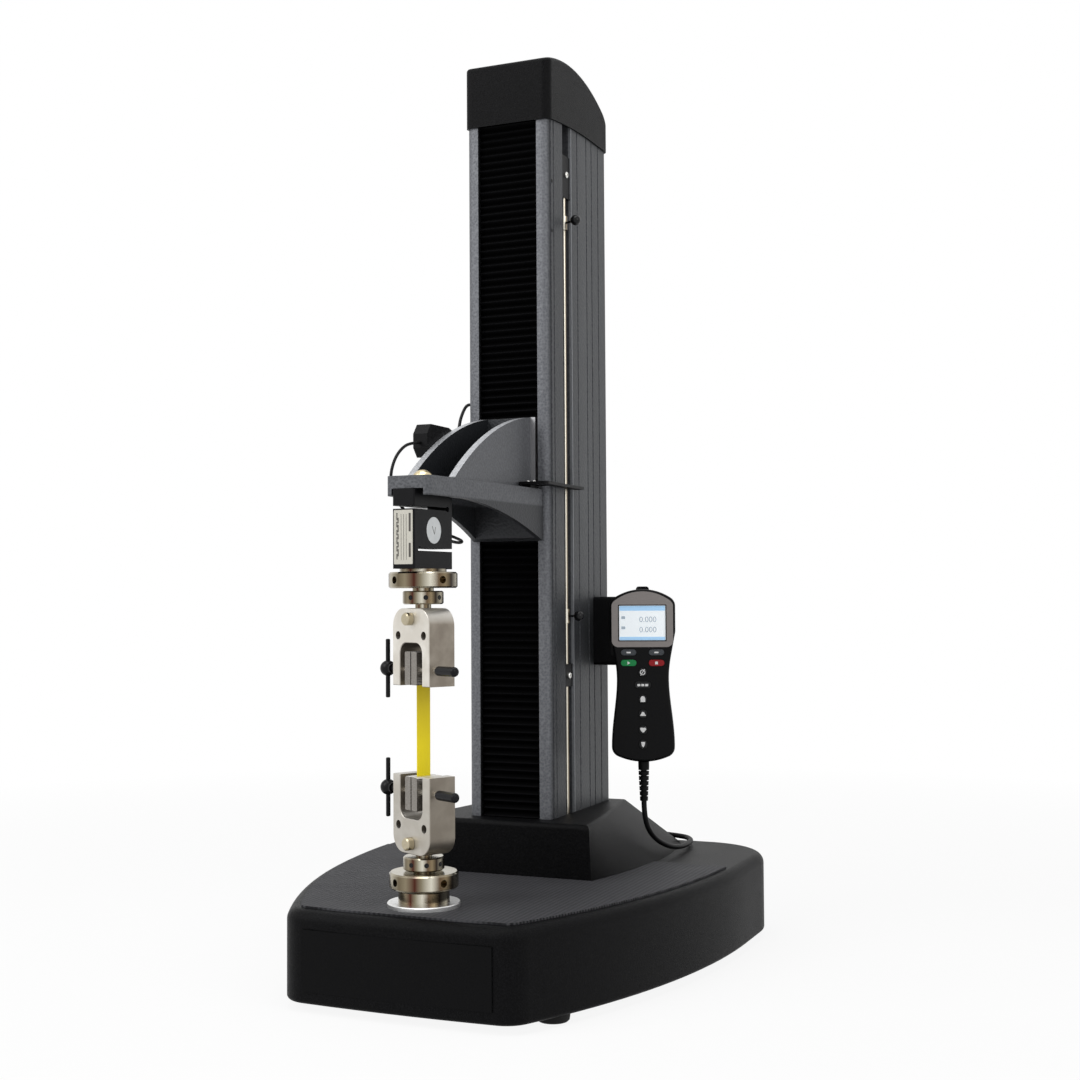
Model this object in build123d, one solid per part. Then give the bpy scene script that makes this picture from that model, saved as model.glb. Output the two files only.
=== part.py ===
from build123d import *
from math import cos, pi, radians, sin, sqrt, tan
import os

os.makedirs("parts", exist_ok=True)

# Bench-top universal testing machine, single column.
# Origin: on the bench, in the middle of the base. X to the right, Y to the back, Z up. Millimetres.

# Clearances
running_gap = 0.05
slide_gap = 0.3
seat_gap = 0.1

# Base
base_length = 530.0
base_half_width = 217.0
widest_y = 124.0
side_radius = 780.0
front_bow = 4.0
front_corner = 30.0
rear_corner = 80.0
foot_height = 8.0
base_top = 93.0
base_shoulder = 11.0
base_edge = 4.0
base_wall = 6.0
base_rib = 8.0
base_rib_depth = 34.0
base_rib_x = 62.0
base_plate_thickness = 3.0
foot_radius = 16.0
front_foot_x = base_half_width - 91.0
front_foot_y = -base_length / 2 + 68.0
rear_foot_x = base_half_width - 45.0
rear_foot_y = base_length / 2 - 60.0

# Work mat
mat_thickness = 2.0
mat_margin = 13.0
mat_rear_y = 94.0

# Load axis
load_y = -base_length / 2 + 59.0

# Column
column_half_width = 47.5
column_front = -11.0
column_depth = 174.0
column_corner = 8.0
column_top = 930.0
side_wall = 7.0
back_wall = 8.0
lip_thickness = 6.0
channel_half_width = 34.0
groove_front = 29.0
groove_rear = 53.5
groove_depth = 13.0
groove_wall = 4.0
flute_depth = 1.0
flute_width = 2.4
clip_reach = 6.0
clip_half_width = 7.0
clip_height = 14.0

# Plinth
plinth_top = 150.0
plinth_front = -35.0
plinth_wall = 4.0
plinth_top_half_front = 98.0
plinth_top_half_middle = 86.0
plinth_top_half_rear = 62.0
plinth_top_rear = 169.0
plinth_foot_half_front = 100.0
plinth_foot_half_middle = 120.0
plinth_foot_half_rear = 108.0
plinth_foot_rear = 236.0
plinth_edge = 5.0

# Cap
cap_bottom_front = 886.0
cap_bottom_rear = 895.0
cap_crown = 962.0
cap_front_top = cap_crown - 11.0
cap_crown_y = 66.0
cap_shoulder_y = 148.0
cap_shoulder = cap_crown - 22.0
cap_rear_top = cap_crown - 54.0
cap_flat_y = 130.0
cap_overhang = 2.0
cap_edge = 4.0
cap_corner = 9.0

# Ball screw and drive, inside
screw_y = 106.0
screw_radius = 8.0
screw_bottom = 40.0
screw_top = 918.0
motor_radius = 34.0
motor_bottom = 20.0
bearing_thickness = 20.0
top_bearing_z = 892.0

# Crosshead
crosshead_front = load_y - 31.0
crosshead_rear = -13.0
crosshead_half_front = 22.5
crosshead_half_rear = 40.0
crosshead_top = 494.0
crosshead_web = 8.0
skirt_bottom = 475.5
lip_bottom = 482.0
skirt_thickness = 5.0
rib_outer_x = 26.5
rib_thickness = 7.0
rib_front = -192.0
rib_top = 570.0
lower_rib_bottom = 440.0
lower_rib_front = -168.0
flange_half_width = 32.0
carriage_guide_y = 60.0
carriage_rear = 150.0
nut_radius = 18.0

# Bellows
bellows_pitch = 8.0
bellows_depth = 6.0
bellows_thickness = 1.2
bellows_rear = -1.5

# Limit rod, its guides and stops
rod_x = 43.0
rod_y = 43.0
rod_radius = 2.3
rod_bottom = 118.0
rod_top = 846.0
top_guide_z = 814.0
top_guide_height = 46.0
low_guide_z = 285.0
low_guide_height = 24.0
guide_outer_x = 46.0
collar_radius = 4.2
collar_height = 15.0
upper_stop_z = 779.0
lower_stop_z = 353.0
knob_radius = 5.5
stem_radius = 1.2
upper_knob_reach = 19.5
upper_knob_turn = -27.0
lower_knob_reach = 14.5
lower_knob_turn = 0.0

# Limit flag
flag_bottom = 497.0
flag_thickness = 3.0
flag_front = -45.0
flag_rear = 58.0
flag_inner_x = 48.6
flag_outer_x = 59.0
flag_eye_radius = 6.0
flag_eye_gap = 0.8

# Load cell and its bolt
cell_yaw = -5.0
cell_bottom = 408.0
cell_top = 482.0
cell_half_length = 33.5
cell_half_thickness = 12.0
cell_slot = 2.8
cell_lower_slot_z = 424.5
cell_upper_slot_z = 463.3
cell_web = 9.0
cell_window_radius = 9.0
stud_radius = 5.9
stud_length = 12.0
bolt_head_radius = 9.5
bolt_head_height = 6.0
bolt_washer_radius = 12.0
bolt_washer = 1.6
cell_gland_radius = 3.6
cell_gland_length = 8.0
cell_gland_z = 437.0

# Connector on the left rib
connector_front = -146.0
connector_rear = -88.0
connector_bottom = 520.0
connector_top = 553.0
connector_outer_x = -42.0

# Adapters
spindle_radius = 10.0
neck_radius = 7.5
neck_depth = 20.0
collar_ring_radius = 19.2
collar_ring_height = 12.5
lock_ring_radius = 32.3
lock_ring_height = 15.0
lock_ring_hole = 3.5
lock_ring_hole_depth = 9.0
upper_flange_radius = 22.0
upper_flange_height = 2.5
upper_lock_bottom = 390.1
upper_collar_bottom = 375.0
disc_radius = 34.2
disc_height = 4.0
disc_spigot_radius = 15.0
lower_flange_radius = 23.9
lower_flange_height = 10.5
lower_lock_bottom = 112.0
lower_collar_bottom = 128.5

# Grips, measured from the open end towards the closed end
grip_yaw = -28.0
grip_width = 60.5
grip_depth = 28.4
grip_height = 72.4
grip_corner = 17.0
grip_slot_width = 36.5
grip_slot_depth = 40.0
grip_slot_corner = 10.0
upper_grip_open = 299.0
lower_grip_open = 216.0
pin_from_closed = 10.0
pin_radius = 3.9
pin_head_radius = 6.0
pin_head_length = 7.0
dowel_x = 21.0
dowel_from_closed = 25.5
dowel_radius = 4.0
jaw_gap = 1.5
jaw_thickness = 9.0
jaw_height = 31.0
jaw_setback = 1.0
jaw_socket = 4.0
clamp_axis = 15.0
clamp_y = -8.0
clamp_radius = 3.0
hub_x = -48.0
hub_radius = 7.5
hub_neck_radius = 4.7
hub_neck_length = 9.0
t_bar_radius = 2.15
t_bar_length = 56.0
sleeve_start = 34.0
sleeve_length = 30.0
sleeve_radius = 4.5

# Test strip
strip_width = 15.0
strip_thickness = 1.0
strip_clamped = 22.0

# Handset, modelled upright at the origin, its front towards -Y, then turned and moved
handset_yaw = 18.0
handset_x = 112.0
handset_y = 94.0
handset_depth = 28.0
handset_split = -2.0
handset_bottom = 203.0
handset_top = 389.0
handset_top_half = 35.5
handset_waist_half = 28.3
handset_bottom_half = 33.7
handset_corner = 11.0
handset_neck_z = 343.0
handset_edge = 3.0
bezel_inset = 2.4
bezel_bottom = 326.5
bezel_proud = 0.6
bezel_corner = 7.0
display_width = 50.5
display_height = 38.0
display_centre_z = 352.5
display_recess = 1.2
relief_top_radius = 6.0
relief_end_radius = 4.3
relief_bottom = 160.0
key_proud = 1.0
key_depth = 4.0
key_pocket = 6.0
key_gap = 0.3
rail_half_width = 12.0
rail_thickness = 4.4
rail_bottom = 326.0
rail_top = 371.7
ear_wall = 3.7
ear_lip = 3.0
stem_half_width = 8.7

# Handset holder on the column
holder_front = 112.0
holder_rear = 156.0
holder_outer_x = 84.0
holder_bottom = 305.0
holder_top = 381.0

# Mains inlet and switch at the back of the base
inlet_x = -105.0
inlet_z = 50.0
inlet_half_width = 31.0
inlet_half_height = 15.0
inlet_depth = 26.0
inlet_flange = 2.0
inlet_recess = 4.4
socket_half_width = 12.0
socket_half_height = 8.0
socket_depth = 16.0
socket_offset = -14.0
rocker_offset = 17.0
rocker_half_width = 6.5
rocker_half_height = 8.6
rocker_gap = 1.2
rocker_pivot_radius = 1.2
rocker_pivot_depth = 5.0

# Cords
cell_lead_radius = 1.5
column_lead_radius = 1.7
handset_cord_radius = 2.9
cord_boss_end_x = 62.0
cord_boss_length = 22.0
cord_boss_front = 19.0
cord_boss_rear = 9.0
cord_boss_above = 8.0

column_rear = column_front + column_depth
base_inner_top = base_top - base_wall
mat_top = base_top + mat_thickness


def block(x_low, x_high, y_low, y_high, z_low, z_high):
    """A box between two corners."""
    size = Box(x_high - x_low, y_high - y_low, z_high - z_low)
    return Pos((x_low + x_high) / 2, (y_low + y_high) / 2, (z_low + z_high) / 2) * size


def post(radius, z_low, z_high, x=0.0, y=0.0):
    """An upright cylinder."""
    return Pos(x, y, (z_low + z_high) / 2) * Cylinder(radius, z_high - z_low)


def bar(radius, start, end):
    """A round bar from one point to another."""
    along = Vector(*end) - Vector(*start)
    middle = (Vector(*start) + Vector(*end)) / 2
    return Plane(origin=middle, z_dir=along) * Cylinder(radius, along.length)


def turned(points, x=0.0, y=0.0):
    """A turned piece from its half section, given as (radius, height) points."""
    section = make_face(Plane.XZ * Polyline(*points, close=True))
    return Pos(x, y, 0) * revolve(section, Axis.Z)


def save(name, shape):
    """Write one node."""
    export_step(shape, os.path.join("parts", name + ".step"))


def base_outline(inset=0.0):
    """Plan of the base: bowed front, sides that swell to the widest line, round rear corners."""
    front = -base_length / 2 + front_bow
    rear = base_length / 2
    centre_x = base_half_width - side_radius

    def side_x(y):
        return centre_x + sqrt(side_radius ** 2 - (y - widest_y) ** 2)

    middle = (front + widest_y) / 2
    edges = [
        ThreePointArc((-side_x(front), front), (0, front - front_bow), (side_x(front), front)),
        ThreePointArc((side_x(front), front), (side_x(middle), middle), (base_half_width, widest_y)),
        Line((base_half_width, widest_y), (base_half_width, rear)),
        Line((base_half_width, rear), (-base_half_width, rear)),
        Line((-base_half_width, rear), (-base_half_width, widest_y)),
        ThreePointArc((-base_half_width, widest_y), (-side_x(middle), middle), (-side_x(front), front)),
    ]
    outline = make_face(edges)
    outline = fillet(outline.vertices().group_by(Axis.Y)[0], front_corner)
    outline = fillet(outline.vertices().group_by(Axis.Y)[-1], rear_corner)
    if inset:
        outline = offset(outline, amount=-inset)
    return outline


def foot_places():
    """Centres of the four feet."""
    return [
        (side * x, y)
        for side in (-1, 1)
        for x, y in ((front_foot_x, front_foot_y), (rear_foot_x, rear_foot_y))
    ]


def base_housing():
    """Housing of the base: a shell open below, with ribs under the top and the openings it needs."""
    height = base_top - foot_height
    shell = Pos(0, 0, foot_height) * extrude(base_outline(), amount=height)
    shell = fillet(shell.faces().sort_by(Axis.Z)[-1].edges(), base_shoulder)
    shell = fillet(shell.faces().sort_by(Axis.Z)[0].edges(), base_edge)
    shell -= Pos(0, 0, foot_height) * extrude(base_outline(base_wall), amount=height - base_wall)
    rib_reach = base_length / 2 - 2 * base_wall
    for side in (-1, 1):
        shell += block(
            side * base_rib_x - base_rib / 2,
            side * base_rib_x + base_rib / 2,
            -rib_reach,
            rib_reach,
            base_inner_top - base_rib_depth,
            base_inner_top + base_wall / 2,
        )
    boss = post(disc_spigot_radius + base_wall, base_inner_top - base_rib_depth, base_top - 1, 0, load_y)
    shell += boss
    shell -= post(stud_radius + seat_gap, 0, base_top + 1, 0, load_y)
    shell -= post(screw_radius + slide_gap, 0, base_top + 1, 0, screw_y)
    shell -= block(
        inlet_x - inlet_half_width - slide_gap,
        inlet_x + inlet_half_width + slide_gap,
        base_length / 2 - inlet_recess,
        base_length / 2 + 1,
        inlet_z - inlet_half_height - slide_gap,
        inlet_z + inlet_half_height + slide_gap,
    )
    window = block(
        inlet_x - inlet_half_width + inlet_flange,
        inlet_x + inlet_half_width - inlet_flange,
        base_length / 2 - 2 * base_wall,
        base_length / 2 + 1,
        inlet_z - inlet_half_height + inlet_flange,
        inlet_z + inlet_half_height - inlet_flange,
    )
    return shell - window


def base_plate():
    """Flat plate that closes the base and carries the feet."""
    outline = base_outline(base_wall + slide_gap)
    return Pos(0, 0, foot_height) * extrude(outline, amount=base_plate_thickness)


def base_feet():
    """Four rubber feet, a little wider at the top."""
    feet = []
    for x, y in foot_places():
        profile = [
            (0, 0),
            (foot_radius - 2.5, 0),
            (foot_radius - 1.0, 1.5),
            (foot_radius, foot_height),
            (0, foot_height),
        ]
        feet.append(turned(profile, x, y))
    return Compound(children=feet)


def work_mat():
    """Thin mat on the base, cut away behind and round the plinth."""
    sheet = Pos(0, 0, base_top) * extrude(base_outline(mat_margin), amount=mat_thickness)
    sheet -= block(-base_half_width, base_half_width, mat_rear_y, base_length, 0, mat_top + 1)
    grown = plinth_form(-1.0, base_top - 1, mat_top + 1, plinth_foot_rear)
    sheet -= grown
    return sheet - post(disc_spigot_radius + slide_gap, 0, mat_top + 1, 0, load_y)


def plinth_outline(front, half_front, half_middle, half_rear, rear):
    """Plan of the plinth at one height, bulging a little between its front and rear corners."""
    middle = front + 0.4 * (rear - front)
    edges = [
        Line((-half_front, front), (half_front, front)),
        ThreePointArc((half_front, front), (half_middle, middle), (half_rear, rear)),
        Line((half_rear, rear), (-half_rear, rear)),
        ThreePointArc((-half_rear, rear), (-half_middle, middle), (-half_front, front)),
    ]
    return make_face(edges)


def plinth_form(inset, z_low, z_high, foot_rear):
    """The plinth's outer form, or a smaller or larger one inside or around it."""
    low = plinth_outline(
        plinth_front + inset,
        plinth_foot_half_front - inset,
        plinth_foot_half_middle - inset,
        plinth_foot_half_rear - inset,
        foot_rear - inset,
    )
    high = plinth_outline(
        plinth_front + inset,
        plinth_top_half_front - inset,
        plinth_top_half_middle - inset,
        plinth_top_half_rear - inset,
        plinth_top_rear - inset,
    )
    if inset < 0:
        return Pos(0, 0, z_low) * extrude(low, amount=z_high - z_low)
    return loft([Pos(0, 0, z_low) * low, Pos(0, 0, z_high) * high])


def column_plinth():
    """Cover that spreads from the column to the base, with the boss that takes the handset cord."""
    cover = plinth_form(0, base_top, plinth_top, plinth_foot_rear)
    cover = fillet(cover.faces().sort_by(Axis.Z)[-1].edges(), plinth_edge)
    cover -= plinth_form(plinth_wall, base_top - 1, plinth_top - plinth_wall, plinth_foot_rear)
    hole = RectangleRounded(
        2 * (column_half_width + slide_gap), column_depth + 2 * slide_gap, column_corner + slide_gap
    )
    cover -= Pos(0, column_front + column_depth / 2, 0) * extrude(hole, amount=plinth_top + 1)
    end_y = handset_cord_points()[-1][1]
    end_z = handset_cord_points()[-1][2]
    boss = block(
        cord_boss_end_x - cord_boss_length,
        cord_boss_end_x,
        end_y - cord_boss_front,
        end_y + cord_boss_rear,
        base_top + seat_gap,
        end_z + cord_boss_above,
    )
    boss = fillet(boss.edges().filter_by(Axis.X).group_by(Axis.Z)[-1], 5)
    boss -= plinth_form(plinth_wall, base_top - 1, plinth_top - plinth_wall, plinth_foot_rear)
    return cover + boss


def column_profile():
    """Section of the column: a channel open at the front, with a groove and flutes on each side."""
    outer = Pos(0, column_front + column_depth / 2) * RectangleRounded(
        2 * column_half_width, column_depth, column_corner
    )
    inner_front = column_front + lip_thickness
    inner_rear = column_rear - back_wall
    inner_half = column_half_width - side_wall
    cavity = Pos(0, (inner_front + inner_rear) / 2) * Rectangle(2 * inner_half, inner_rear - inner_front)
    groove_floor = column_half_width - groove_depth
    for side in (-1, 1):
        middle_y = (groove_front + groove_rear) / 2
        thick = groove_rear - groove_front + 2 * groove_wall
        low = groove_floor - groove_wall
        cavity -= Pos(side * (low + inner_half) / 2, middle_y) * Rectangle(inner_half - low, thick)
    section = outer - cavity
    section -= Pos(0, column_front + lip_thickness / 2) * Rectangle(
        2 * channel_half_width, lip_thickness + 2
    )
    for side in (-1, 1):
        groove = Rectangle(groove_depth + 2, groove_rear - groove_front)
        groove_x = side * (groove_floor + groove_depth / 2 + 1)
        section -= Pos(groove_x, (groove_front + groove_rear) / 2) * groove
        for flute_y in flute_places():
            section -= Pos(side * column_half_width, flute_y) * Rectangle(2 * flute_depth, flute_width)
    return section


def flute_places():
    """Centres of the shallow flutes on each side of the column."""
    return (-4.0, 4.0, 71.5, 99.0, 115.0, 135.0)


def column_extrusion():
    """The column, from the base top up into the cap, with the block that takes the crosshead's lead.

    It is one extrusion. Here its strips in front of the grooves, behind them and at their floors are
    solids of their own that meet face to face, so that collision leaves the grooves open.
    """
    column = Pos(0, 0, base_top) * extrude(column_profile(), amount=column_top - base_top)
    end = column_lead_points()[-1]
    clip = block(
        end[0] - clip_reach,
        -column_half_width + 1,
        end[1] - clip_half_width,
        end[1] + clip_half_width,
        end[2],
        end[2] + clip_height,
    )
    column = column + clip
    cuts = (column_front - 1, groove_front, groove_rear, column_rear + 1)
    slabs = [
        column & block(-column_half_width - 30, column_half_width + 30, low, high, base_top, column_top)
        for low, high in zip(cuts, cuts[1:])
    ]
    return Compound(children=[solid for slab in slabs for solid in slab.solids()])


def top_cap():
    """Cap over the column: arched top, bottom edge that rises towards the back."""
    front = column_front - cap_overhang
    rear = column_rear + cap_overhang
    half = column_half_width + cap_overhang
    rear_arc = ((cap_shoulder_y + rear) / 2 + 5.5, (cap_shoulder + cap_rear_top) / 2 + 2)
    front_arc = ((cap_flat_y + front) / 2, (cap_bottom_front + cap_bottom_rear) / 2 + 2.8)
    edges = [
        Line((front, cap_bottom_front), (front, cap_front_top)),
        ThreePointArc((front, cap_front_top), (cap_crown_y, cap_crown), (cap_shoulder_y, cap_shoulder)),
        ThreePointArc((cap_shoulder_y, cap_shoulder), rear_arc, (rear, cap_rear_top)),
        Line((rear, cap_rear_top), (rear, cap_bottom_rear)),
        Line((rear, cap_bottom_rear), (cap_flat_y, cap_bottom_rear)),
        ThreePointArc((cap_flat_y, cap_bottom_rear), front_arc, (front, cap_bottom_front)),
    ]
    cap = extrude(Plane.YZ * make_face(edges), amount=half, both=True)
    plan = RectangleRounded(2 * half, rear - front, cap_corner)
    cap &= Pos(0, (front + rear) / 2, cap_bottom_front - 10) * extrude(plan, amount=90)
    crown = cap.faces().filter_by(GeomType.CYLINDER).sort_by(Axis.Z)[-1]
    cap = fillet(crown.edges(), cap_edge)
    cavity = RectangleRounded(
        2 * (column_half_width + slide_gap), column_depth + 2 * slide_gap, column_corner + slide_gap
    )
    inside = Pos(0, column_front + column_depth / 2, cap_bottom_front - 5) * extrude(
        cavity, amount=column_top + slide_gap - cap_bottom_front + 5
    )
    return cap - inside


def bellows(z_low, z_high):
    """A pleated sheet that closes the column's front channel between two heights."""
    folds = 2 * round((z_high - z_low) / bellows_pitch)
    step = (z_high - z_low) / folds
    front = bellows_rear - bellows_depth
    rear_line = []
    for index in range(folds + 1):
        y = bellows_rear if index % 2 else front + bellows_thickness
        rear_line.append((y, z_low + index * step))
    front_line = [(y - bellows_thickness, z) for y, z in reversed(rear_line)]
    section = make_face(Plane.YZ * Polyline(*(rear_line + front_line), close=True))
    return extrude(section, amount=channel_half_width - 2 * slide_gap, both=True)


def ball_screw():
    """Ball screw: threaded length between two turned journals."""
    journal = screw_radius - 1.5
    groove = screw_radius - 0.9
    low = base_top + bearing_thickness
    high = top_bearing_z
    profile = [(0, screw_bottom), (journal, screw_bottom), (journal, low), (screw_radius, low)]
    profile += [(screw_radius, low + 6), (groove, low + 7), (groove, high - 7), (screw_radius, high - 6)]
    profile += [(screw_radius, high), (journal, high), (journal, screw_top), (0, screw_top)]
    return turned(profile, 0, screw_y)


def screw_bearings():
    """Bearing plates of the ball screw, at the foot and the head of the column."""
    half = column_half_width - side_wall - slide_gap
    front = groove_rear + groove_wall + slide_gap
    rear = column_rear - back_wall - slide_gap
    plates = []
    for z_low in (base_top, top_bearing_z):
        plate = block(-half, half, front, rear, z_low, z_low + bearing_thickness)
        plate -= post(screw_radius - 1.5 + running_gap, z_low - 1, z_low + bearing_thickness + 1, 0, screw_y)
        plates.append(plate)
    return Compound(children=plates)


def drive_motor():
    """Drive motor with a hollow shaft, hung under the top of the base."""
    body = post(motor_radius, motor_bottom, base_inner_top - 6, 0, screw_y)
    flange = block(-40, 40, screw_y - 40, screw_y + 40, base_inner_top - 6, base_inner_top)
    flange = fillet(flange.edges().filter_by(Axis.Z), 8)
    bore = post(screw_radius - 1.5 + running_gap, motor_bottom + 10, base_inner_top + 1, 0, screw_y)
    return body + flange - bore


def crosshead_half_width(y):
    """Half width of the crosshead's plate at one depth."""
    share = (y - crosshead_front) / (crosshead_rear - crosshead_front)
    return crosshead_half_front + share * (crosshead_half_rear - crosshead_half_front)


def crosshead_plan(inset=0.0):
    """Plan of the crosshead's plate, with rounded front corners."""
    front = crosshead_front + inset
    corners = [
        (-crosshead_half_width(crosshead_front) + inset, front),
        (crosshead_half_width(crosshead_front) - inset, front),
        (crosshead_half_rear - inset, crosshead_rear),
        (-crosshead_half_rear + inset, crosshead_rear),
    ]
    plan = make_face(Polyline(*corners, close=True))
    radius = 6.0 if not inset else 3.0
    return fillet(plan.vertices().group_by(Axis.Y)[0], radius)


def crosshead_casting():
    """Crosshead: a plate with a skirt, two curved ribs above it and deepening side walls below."""
    low = lower_rib_bottom
    body = Pos(0, 0, low) * extrude(crosshead_plan(), amount=crosshead_top - low)
    keep = [
        Line((crosshead_front - 1, crosshead_top + 1), (crosshead_front - 1, skirt_bottom)),
        Line((crosshead_front - 1, skirt_bottom), (lower_rib_front, skirt_bottom)),
        ThreePointArc((lower_rib_front, skirt_bottom), (-80, 461.5), (crosshead_rear, low)),
        Line((crosshead_rear, low), (crosshead_rear, crosshead_top + 1)),
        Line((crosshead_rear, crosshead_top + 1), (crosshead_front - 1, crosshead_top + 1)),
    ]
    body &= extrude(Plane.YZ * make_face(keep), amount=crosshead_half_rear + 1, both=True)
    hollow = Pos(0, 0, low - 1) * extrude(
        crosshead_plan(skirt_thickness), amount=crosshead_top - crosshead_web - low + 1
    )
    back_wall_front = crosshead_rear - crosshead_web
    hollow -= block(-60, 60, back_wall_front, crosshead_rear + 1, low - 2, crosshead_top)
    body -= hollow
    body -= block(
        -crosshead_half_front + skirt_thickness + 1,
        crosshead_half_front - skirt_thickness - 1,
        crosshead_front - 1,
        crosshead_front + skirt_thickness + 2,
        low - 1,
        lip_bottom,
    )
    boss = post(bolt_washer_radius + 3, cell_top, crosshead_top - 1, 0, load_y)
    body += boss
    rib = [
        Line((crosshead_rear, crosshead_top - 1), (rib_front, crosshead_top - 1)),
        Line((rib_front, crosshead_top - 1), (rib_front, crosshead_top)),
        ThreePointArc((rib_front, crosshead_top), (-122, 538), (crosshead_rear, rib_top)),
        Line((crosshead_rear, rib_top), (crosshead_rear, crosshead_top - 1)),
    ]
    ribs = extrude(Plane.YZ * make_face(rib), amount=rib_outer_x, both=True)
    inner_x = rib_outer_x - rib_thickness
    ribs -= block(-inner_x, inner_x, crosshead_front, crosshead_rear - crosshead_web, crosshead_top, 600)
    body += ribs
    body -= post(stud_radius + seat_gap, cell_top - 1, crosshead_top + 1, 0, load_y)
    return body


def carriage():
    """Carriage inside the column: front flange, neck between the grooves, guide block and nut flange."""
    flange = block(
        -flange_half_width, flange_half_width, crosshead_rear, column_front + lip_thickness + 8,
        lower_rib_bottom, rib_top,
    )
    neck_half = column_half_width - groove_depth - groove_wall - 1
    neck = block(-neck_half, neck_half, column_front, carriage_guide_y + 1, lower_rib_bottom, rib_top)
    guide_half = column_half_width - side_wall - slide_gap
    guide = block(-guide_half, guide_half, carriage_guide_y, carriage_rear, lower_rib_bottom, rib_top)
    guide -= post(nut_radius, lower_rib_bottom - 1, rib_top + 1, 0, screw_y)
    return flange + neck + guide + ball_nut()


def ball_nut():
    """Ball nut with its flange, pressed into the carriage from below."""
    profile = [
        (screw_radius + running_gap, lower_rib_bottom - 8),
        (nut_radius + 8, lower_rib_bottom - 8),
        (nut_radius + 8, lower_rib_bottom),
        (nut_radius, lower_rib_bottom),
        (nut_radius, lower_rib_bottom + 52),
        (screw_radius + running_gap, lower_rib_bottom + 52),
    ]
    return turned(profile, 0, screw_y)


def limit_rod():
    """Thin rod in the column's right groove."""
    return post(rod_radius, rod_bottom, rod_top, rod_x, rod_y)


def rod_guides():
    """Two blocks in the groove that guide the limit rod."""
    floor = column_half_width - groove_depth
    blocks = []
    for z_low, height in ((top_guide_z, top_guide_height), (low_guide_z, low_guide_height)):
        guide = block(
            floor, guide_outer_x, groove_front + slide_gap, groove_rear - slide_gap, z_low, z_low + height
        )
        guide -= post(rod_radius + running_gap, z_low - 1, z_low + height + 1, rod_x, rod_y)
        blocks.append(guide)
    return Compound(children=blocks)


def stop_collar(z_low):
    """Stop collar on the limit rod, with a cross hole for its clamping screw."""
    collar = post(collar_radius, z_low, z_low + collar_height, rod_x, rod_y)
    collar -= post(rod_radius + running_gap, z_low - 1, z_low + collar_height + 1, rod_x, rod_y)
    turn = upper_knob_turn if z_low > 500 else lower_knob_turn
    start, end = knob_line(z_low, turn, collar_radius + 2)
    return collar - bar(stem_radius + running_gap, start, end)


def knob_line(z_low, turn, reach):
    """Two points on the clamping screw's axis: on the rod's surface, and at a reach from its centre."""
    height = z_low + collar_height / 2
    across = cos(radians(turn))
    back = sin(radians(turn))
    inner = rod_radius + 4 * running_gap
    start = (rod_x + inner * across, rod_y + inner * back, height)
    end = (rod_x + reach * across, rod_y + reach * back, height)
    return start, end


def stop_knob(z_low, turn, reach):
    """Clamping screw of a stop collar, with a ball on its outer end."""
    start, end = knob_line(z_low, turn, reach)
    return bar(stem_radius, start, end) + Pos(*end) * Sphere(knob_radius)


def limit_flag():
    """Plate from the crosshead round the column's corner to a fork about the limit rod."""
    top = flag_bottom + flag_thickness
    arm = block(rib_outer_x + 1, flag_outer_x, flag_front, crosshead_rear, flag_bottom, top)
    arm += block(flag_inner_x, flag_outer_x, crosshead_rear - 1, flag_rear, flag_bottom, top)
    slot = rod_radius + flag_eye_gap
    arm += block(
        rod_x + slot, flag_inner_x + 1, rod_y - flag_eye_radius, rod_y + flag_eye_radius, flag_bottom, top
    )
    arm = fillet(arm.edges().filter_by(Axis.Z).sort_by(Axis.X)[-1:], 4)
    spacer = block(rib_outer_x + 1, 37, flag_front + 8, crosshead_rear - 8, crosshead_top, flag_bottom)
    eye = post(flag_eye_radius, flag_bottom, top, rod_x, rod_y)
    eye += block(rod_x, rod_x + slot, rod_y - flag_eye_radius, rod_y + flag_eye_radius, flag_bottom, top)
    prongs = [
        eye & block(rod_x - flag_eye_radius, rod_x + slot, rod_y - flag_eye_radius, rod_y - slot, flag_bottom, top),
        eye & block(rod_x - flag_eye_radius, rod_x + slot, rod_y + slot, rod_y + flag_eye_radius, flag_bottom, top),
    ]
    return Compound(children=[arm + spacer] + prongs)


def cell_bolt():
    """Dome-headed bolt with a washer, through the crosshead into the load cell."""
    washer_top = crosshead_top + bolt_washer
    head_top = washer_top + bolt_head_height
    shank = post(stud_radius, cell_top - stud_length, washer_top, 0, load_y)
    washer = post(bolt_washer_radius, crosshead_top, washer_top, 0, load_y)
    dome_radius = (bolt_head_radius ** 2 + bolt_head_height ** 2) / (2 * bolt_head_height)
    dome = Pos(0, load_y, head_top - dome_radius) * Sphere(dome_radius)
    head = dome & post(bolt_head_radius, washer_top, head_top + 1, 0, load_y)
    head -= Pos(0, load_y, head_top) * extrude(RegularPolygon(3.4, 6), amount=-3)
    return shank + washer + head


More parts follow.
